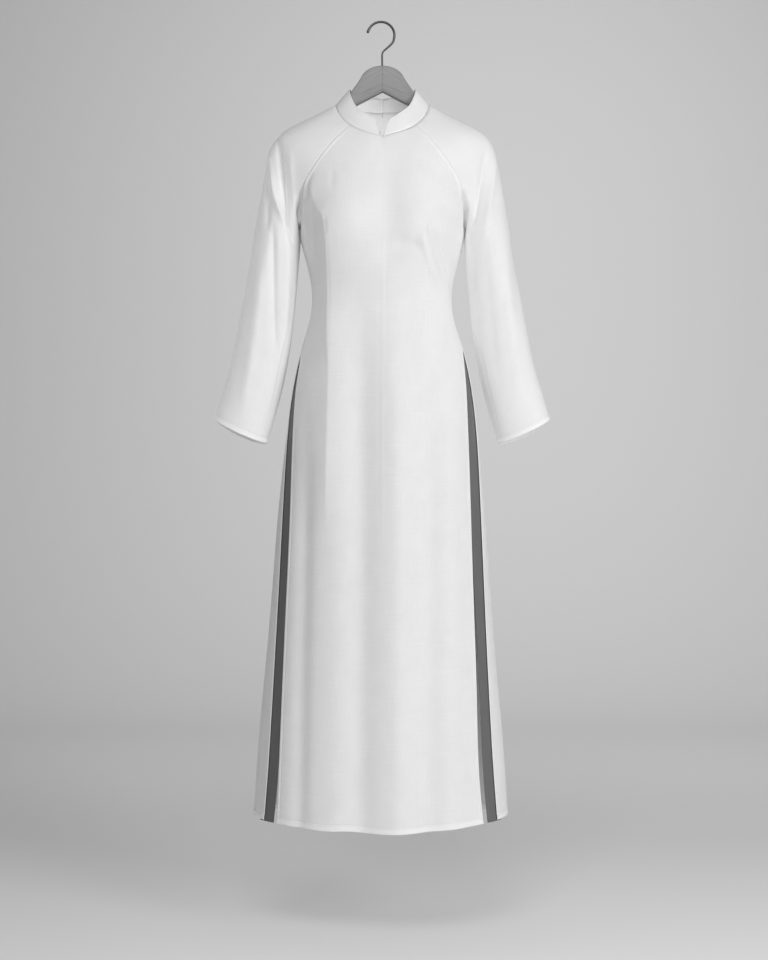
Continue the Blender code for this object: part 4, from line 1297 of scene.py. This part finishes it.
# ---------------------------------------------------------------- hanger
# Two arms sawn from a dark stained board, glued at a centre joint so that their grain meets in a V, with
# rounded edges and a satin varnish.
HANGER_HALF_THICKNESS = 7.0
HANGER_ROUNDING = 3.0
HANGER_GAP = 0.02
JOINT_SHARPNESS = 3.0e6
HANGER_EDGE = table(
    ("run", "x", "z"),
    [
        (0, 0, -73.6), (1, 15, -76), (2, 30, -84.5), (3, 38.5, -97), (4, 47, -109.5), (5, 54, -120),
        (6, 61, -131.5), (7, 70, -141), (8, 84, -148.6), (9, 105, -158.4), (10, 131, -171), (11, 156, -184.5),
        (12, 164.5, -190.5), (13, 168, -196.5), (14, 164, -202.5),
    ],
)
HANGER_UNDER_X = 158.0
HANGER_UNDER_APEX_Z = -118.3
HANGER_UNDER_SLOPE = 0.5206
hanger_edge = curves_of(HANGER_EDGE, "run")


def stained_wood(way):
    """Dark stained wood whose grain runs down along the arm."""
    made, shader, tree = new_finish("stained_wood_" + ("right" if way > 0 else "left"), {
        "Specular IOR Level": 0.4,
        "Coat Roughness": 0.35,
    })
    x, y, z = parts(coordinates(tree))
    lean = math.atan(HANGER_UNDER_SLOPE)
    along = x * (way * math.cos(lean)) - z * math.sin(lean)
    across = x * (way * math.sin(lean)) + z * math.cos(lean)
    fine = x.node("ShaderNodeCombineXYZ", None, {0: along * 22.0, 1: across * 520.0, 2: y * 150.0})
    grain = noise(fine, 1.0, 4.0, 0.6)
    wide = x.node("ShaderNodeCombineXYZ", None, {0: along * 7.0, 1: across * 120.0, 2: y * 60.0})
    rings = noise(wide, 1.0, 2.0)
    pores = ramp(grain, 0.34, 0.46)
    joint = (x * x * -JOINT_SHARPNESS).math("EXPONENT")
    tone = grain * 0.5 + rings * 0.4 + pores * 0.1 - joint * 0.3
    grey_colour(tone, 0.10, 0.38).feed(shader, "Base Color")
    (0.5 - 0.12 * grain).feed(shader, "Roughness")
    feed_bump(grain * 0.6 + pores * 0.6, shader, 0.25, 0.0004)
    return made


def hanger_arm(name, way):
    """One arm, cut from the board along a smooth outline, with its long edges rounded."""
    runs = np.linspace(0.0, HANGER_EDGE["run"][-1], 85)
    outline = list(zip(hanger_edge["x"](runs), hanger_edge["z"](runs)))
    under_end_z = HANGER_UNDER_APEX_Z - HANGER_UNDER_SLOPE * HANGER_UNDER_X
    under = [(HANGER_UNDER_X, under_end_z), (0, HANGER_UNDER_APEX_Z)]
    outline = [(way * max(x, HANGER_GAP) * MM, z * MM) for x, z in outline + under]
    count = len(outline)
    half = HANGER_HALF_THICKNESS * MM
    points = [(x, y, z) for y in (-half, half) for x, z in outline]
    faces = [list(range(count)), list(range(2 * count - 1, count - 1, -1))]
    faces += [[i, i + count, (i + 1) % count + count, (i + 1) % count] for i in range(count)]
    mesh = bpy.data.meshes.new(name)
    mesh.from_pydata(points, [], faces)
    shaped = bmesh.new()
    shaped.from_mesh(mesh)
    bmesh.ops.recalc_face_normals(shaped, faces=shaped.faces)
    joint = 0.3 * MM
    rounded = [
        edge
        for edge in shaped.edges
        if abs(edge.verts[0].co.y - edge.verts[1].co.y) < joint / 10
        and max(abs(vert.co.x) for vert in edge.verts) > joint
    ]
    offset = HANGER_ROUNDING * MM
    bmesh.ops.bevel(shaped, geom=rounded, offset=offset, segments=5, profile=0.6, affect="EDGES")
    bmesh.ops.triangulate(shaped, faces=[face for face in shaped.faces if len(face.verts) > 4])
    shaped.to_mesh(mesh)
    shaped.free()
    mesh.shade_smooth()
    mesh.set_sharp_from_angle(angle=math.radians(38))
    mesh.materials.append(stained_wood(way))
    piece = placed(name, mesh)
    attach(piece, "root")
    return piece


boards = []
for side_name, way in (("left", -1), ("right", 1)):
    board = hanger_arm("hanger_board_" + side_name, way)
    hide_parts("hanger_arm_" + side_name)
    boards.append(board)

# A small low beam reaches up under the boards, to the inside of the standing collar and of the back.
neck_light = add_light("neck_light", (0.5, -0.9, -1.5), (-0.005, 0.056, -0.155), (0.04, 0.04), 0.03)
neck_light.data.spread = math.radians(7)
keep_light_on(neck_light, collars + [back_panel], boards)


# ---------------------------------------------------------------- hook
# One bent steel wire, dark and smooth, rounded at its free end. Its stem turns in the wood.
WIRE_RADIUS = 1.9
HOOK_RADIUS = 23.0
HOOK_CENTRE = (-2.6, -21.0)
HOOK_STEM = table(
    ("run", "x", "z"),
    [
        (0, 19.6, -27.5), (1, 17.2, -33.4), (2, 9.7, -41.2), (3, 1.9, -48.2),
        (4, -0.5, -54.4), (5, -0.5, -64.0), (6, -0.5, -74.6),
    ],
)
GIRTH_POINTS = [0, 1, 4, 8, 62, 84]
GIRTH_SHARES = [0.8, 1.2, 1.2, 1.08, 1.08, 0.82]


def dark_steel():
    """Dark, drawn steel wire with a satin gleam."""
    made, shader, tree = new_finish("dark_steel", {"Metallic": 1.0})
    cloud = noise(coordinates(tree), 260.0, 3.0)
    grey_colour(cloud, 0.06, 0.12).feed(shader, "Base Color")
    (0.28 + 0.14 * cloud).feed(shader, "Roughness")
    return made


def hook_wire():
    """The loop and the stem, swept along one smooth line: a dipped tip, and a stem drawn a little finer."""
    turns = np.radians(np.linspace(170, -15, 64))
    loop = np.array(HOOK_CENTRE) + HOOK_RADIUS * np.stack([np.cos(turns), np.sin(turns)], -1)
    stem = curves_of(HOOK_STEM, "run")
    runs = np.linspace(0.0, HOOK_STEM["run"][-1], 40)[1:]
    route = np.vstack([loop, np.stack([stem["x"](runs), stem["z"](runs)], -1)])
    curve = bpy.data.curves.new("hook_wire", "CURVE")
    curve.dimensions = "3D"
    curve.bevel_depth = WIRE_RADIUS * MM
    curve.bevel_resolution = 6
    curve.use_fill_caps = True
    line = curve.splines.new("POLY")
    line.points.add(len(route) - 1)
    girth = np.interp(np.arange(len(route)), GIRTH_POINTS, GIRTH_SHARES)
    for point, (x, z), share in zip(line.points, route, girth):
        point.co = (x * MM, 0.0, z * MM, 1.0)
        point.radius = share
    swept = placed("hook_sweep", curve)
    mesh = bpy.data.meshes.new_from_object(swept.evaluated_get(bpy.context.evaluated_depsgraph_get()))
    bpy.data.objects.remove(swept)
    mesh.materials.clear()
    mesh.materials.append(dark_steel())
    piece = placed("hook_wire", mesh)
    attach(piece, "root")
    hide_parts("hook")


hook_wire()
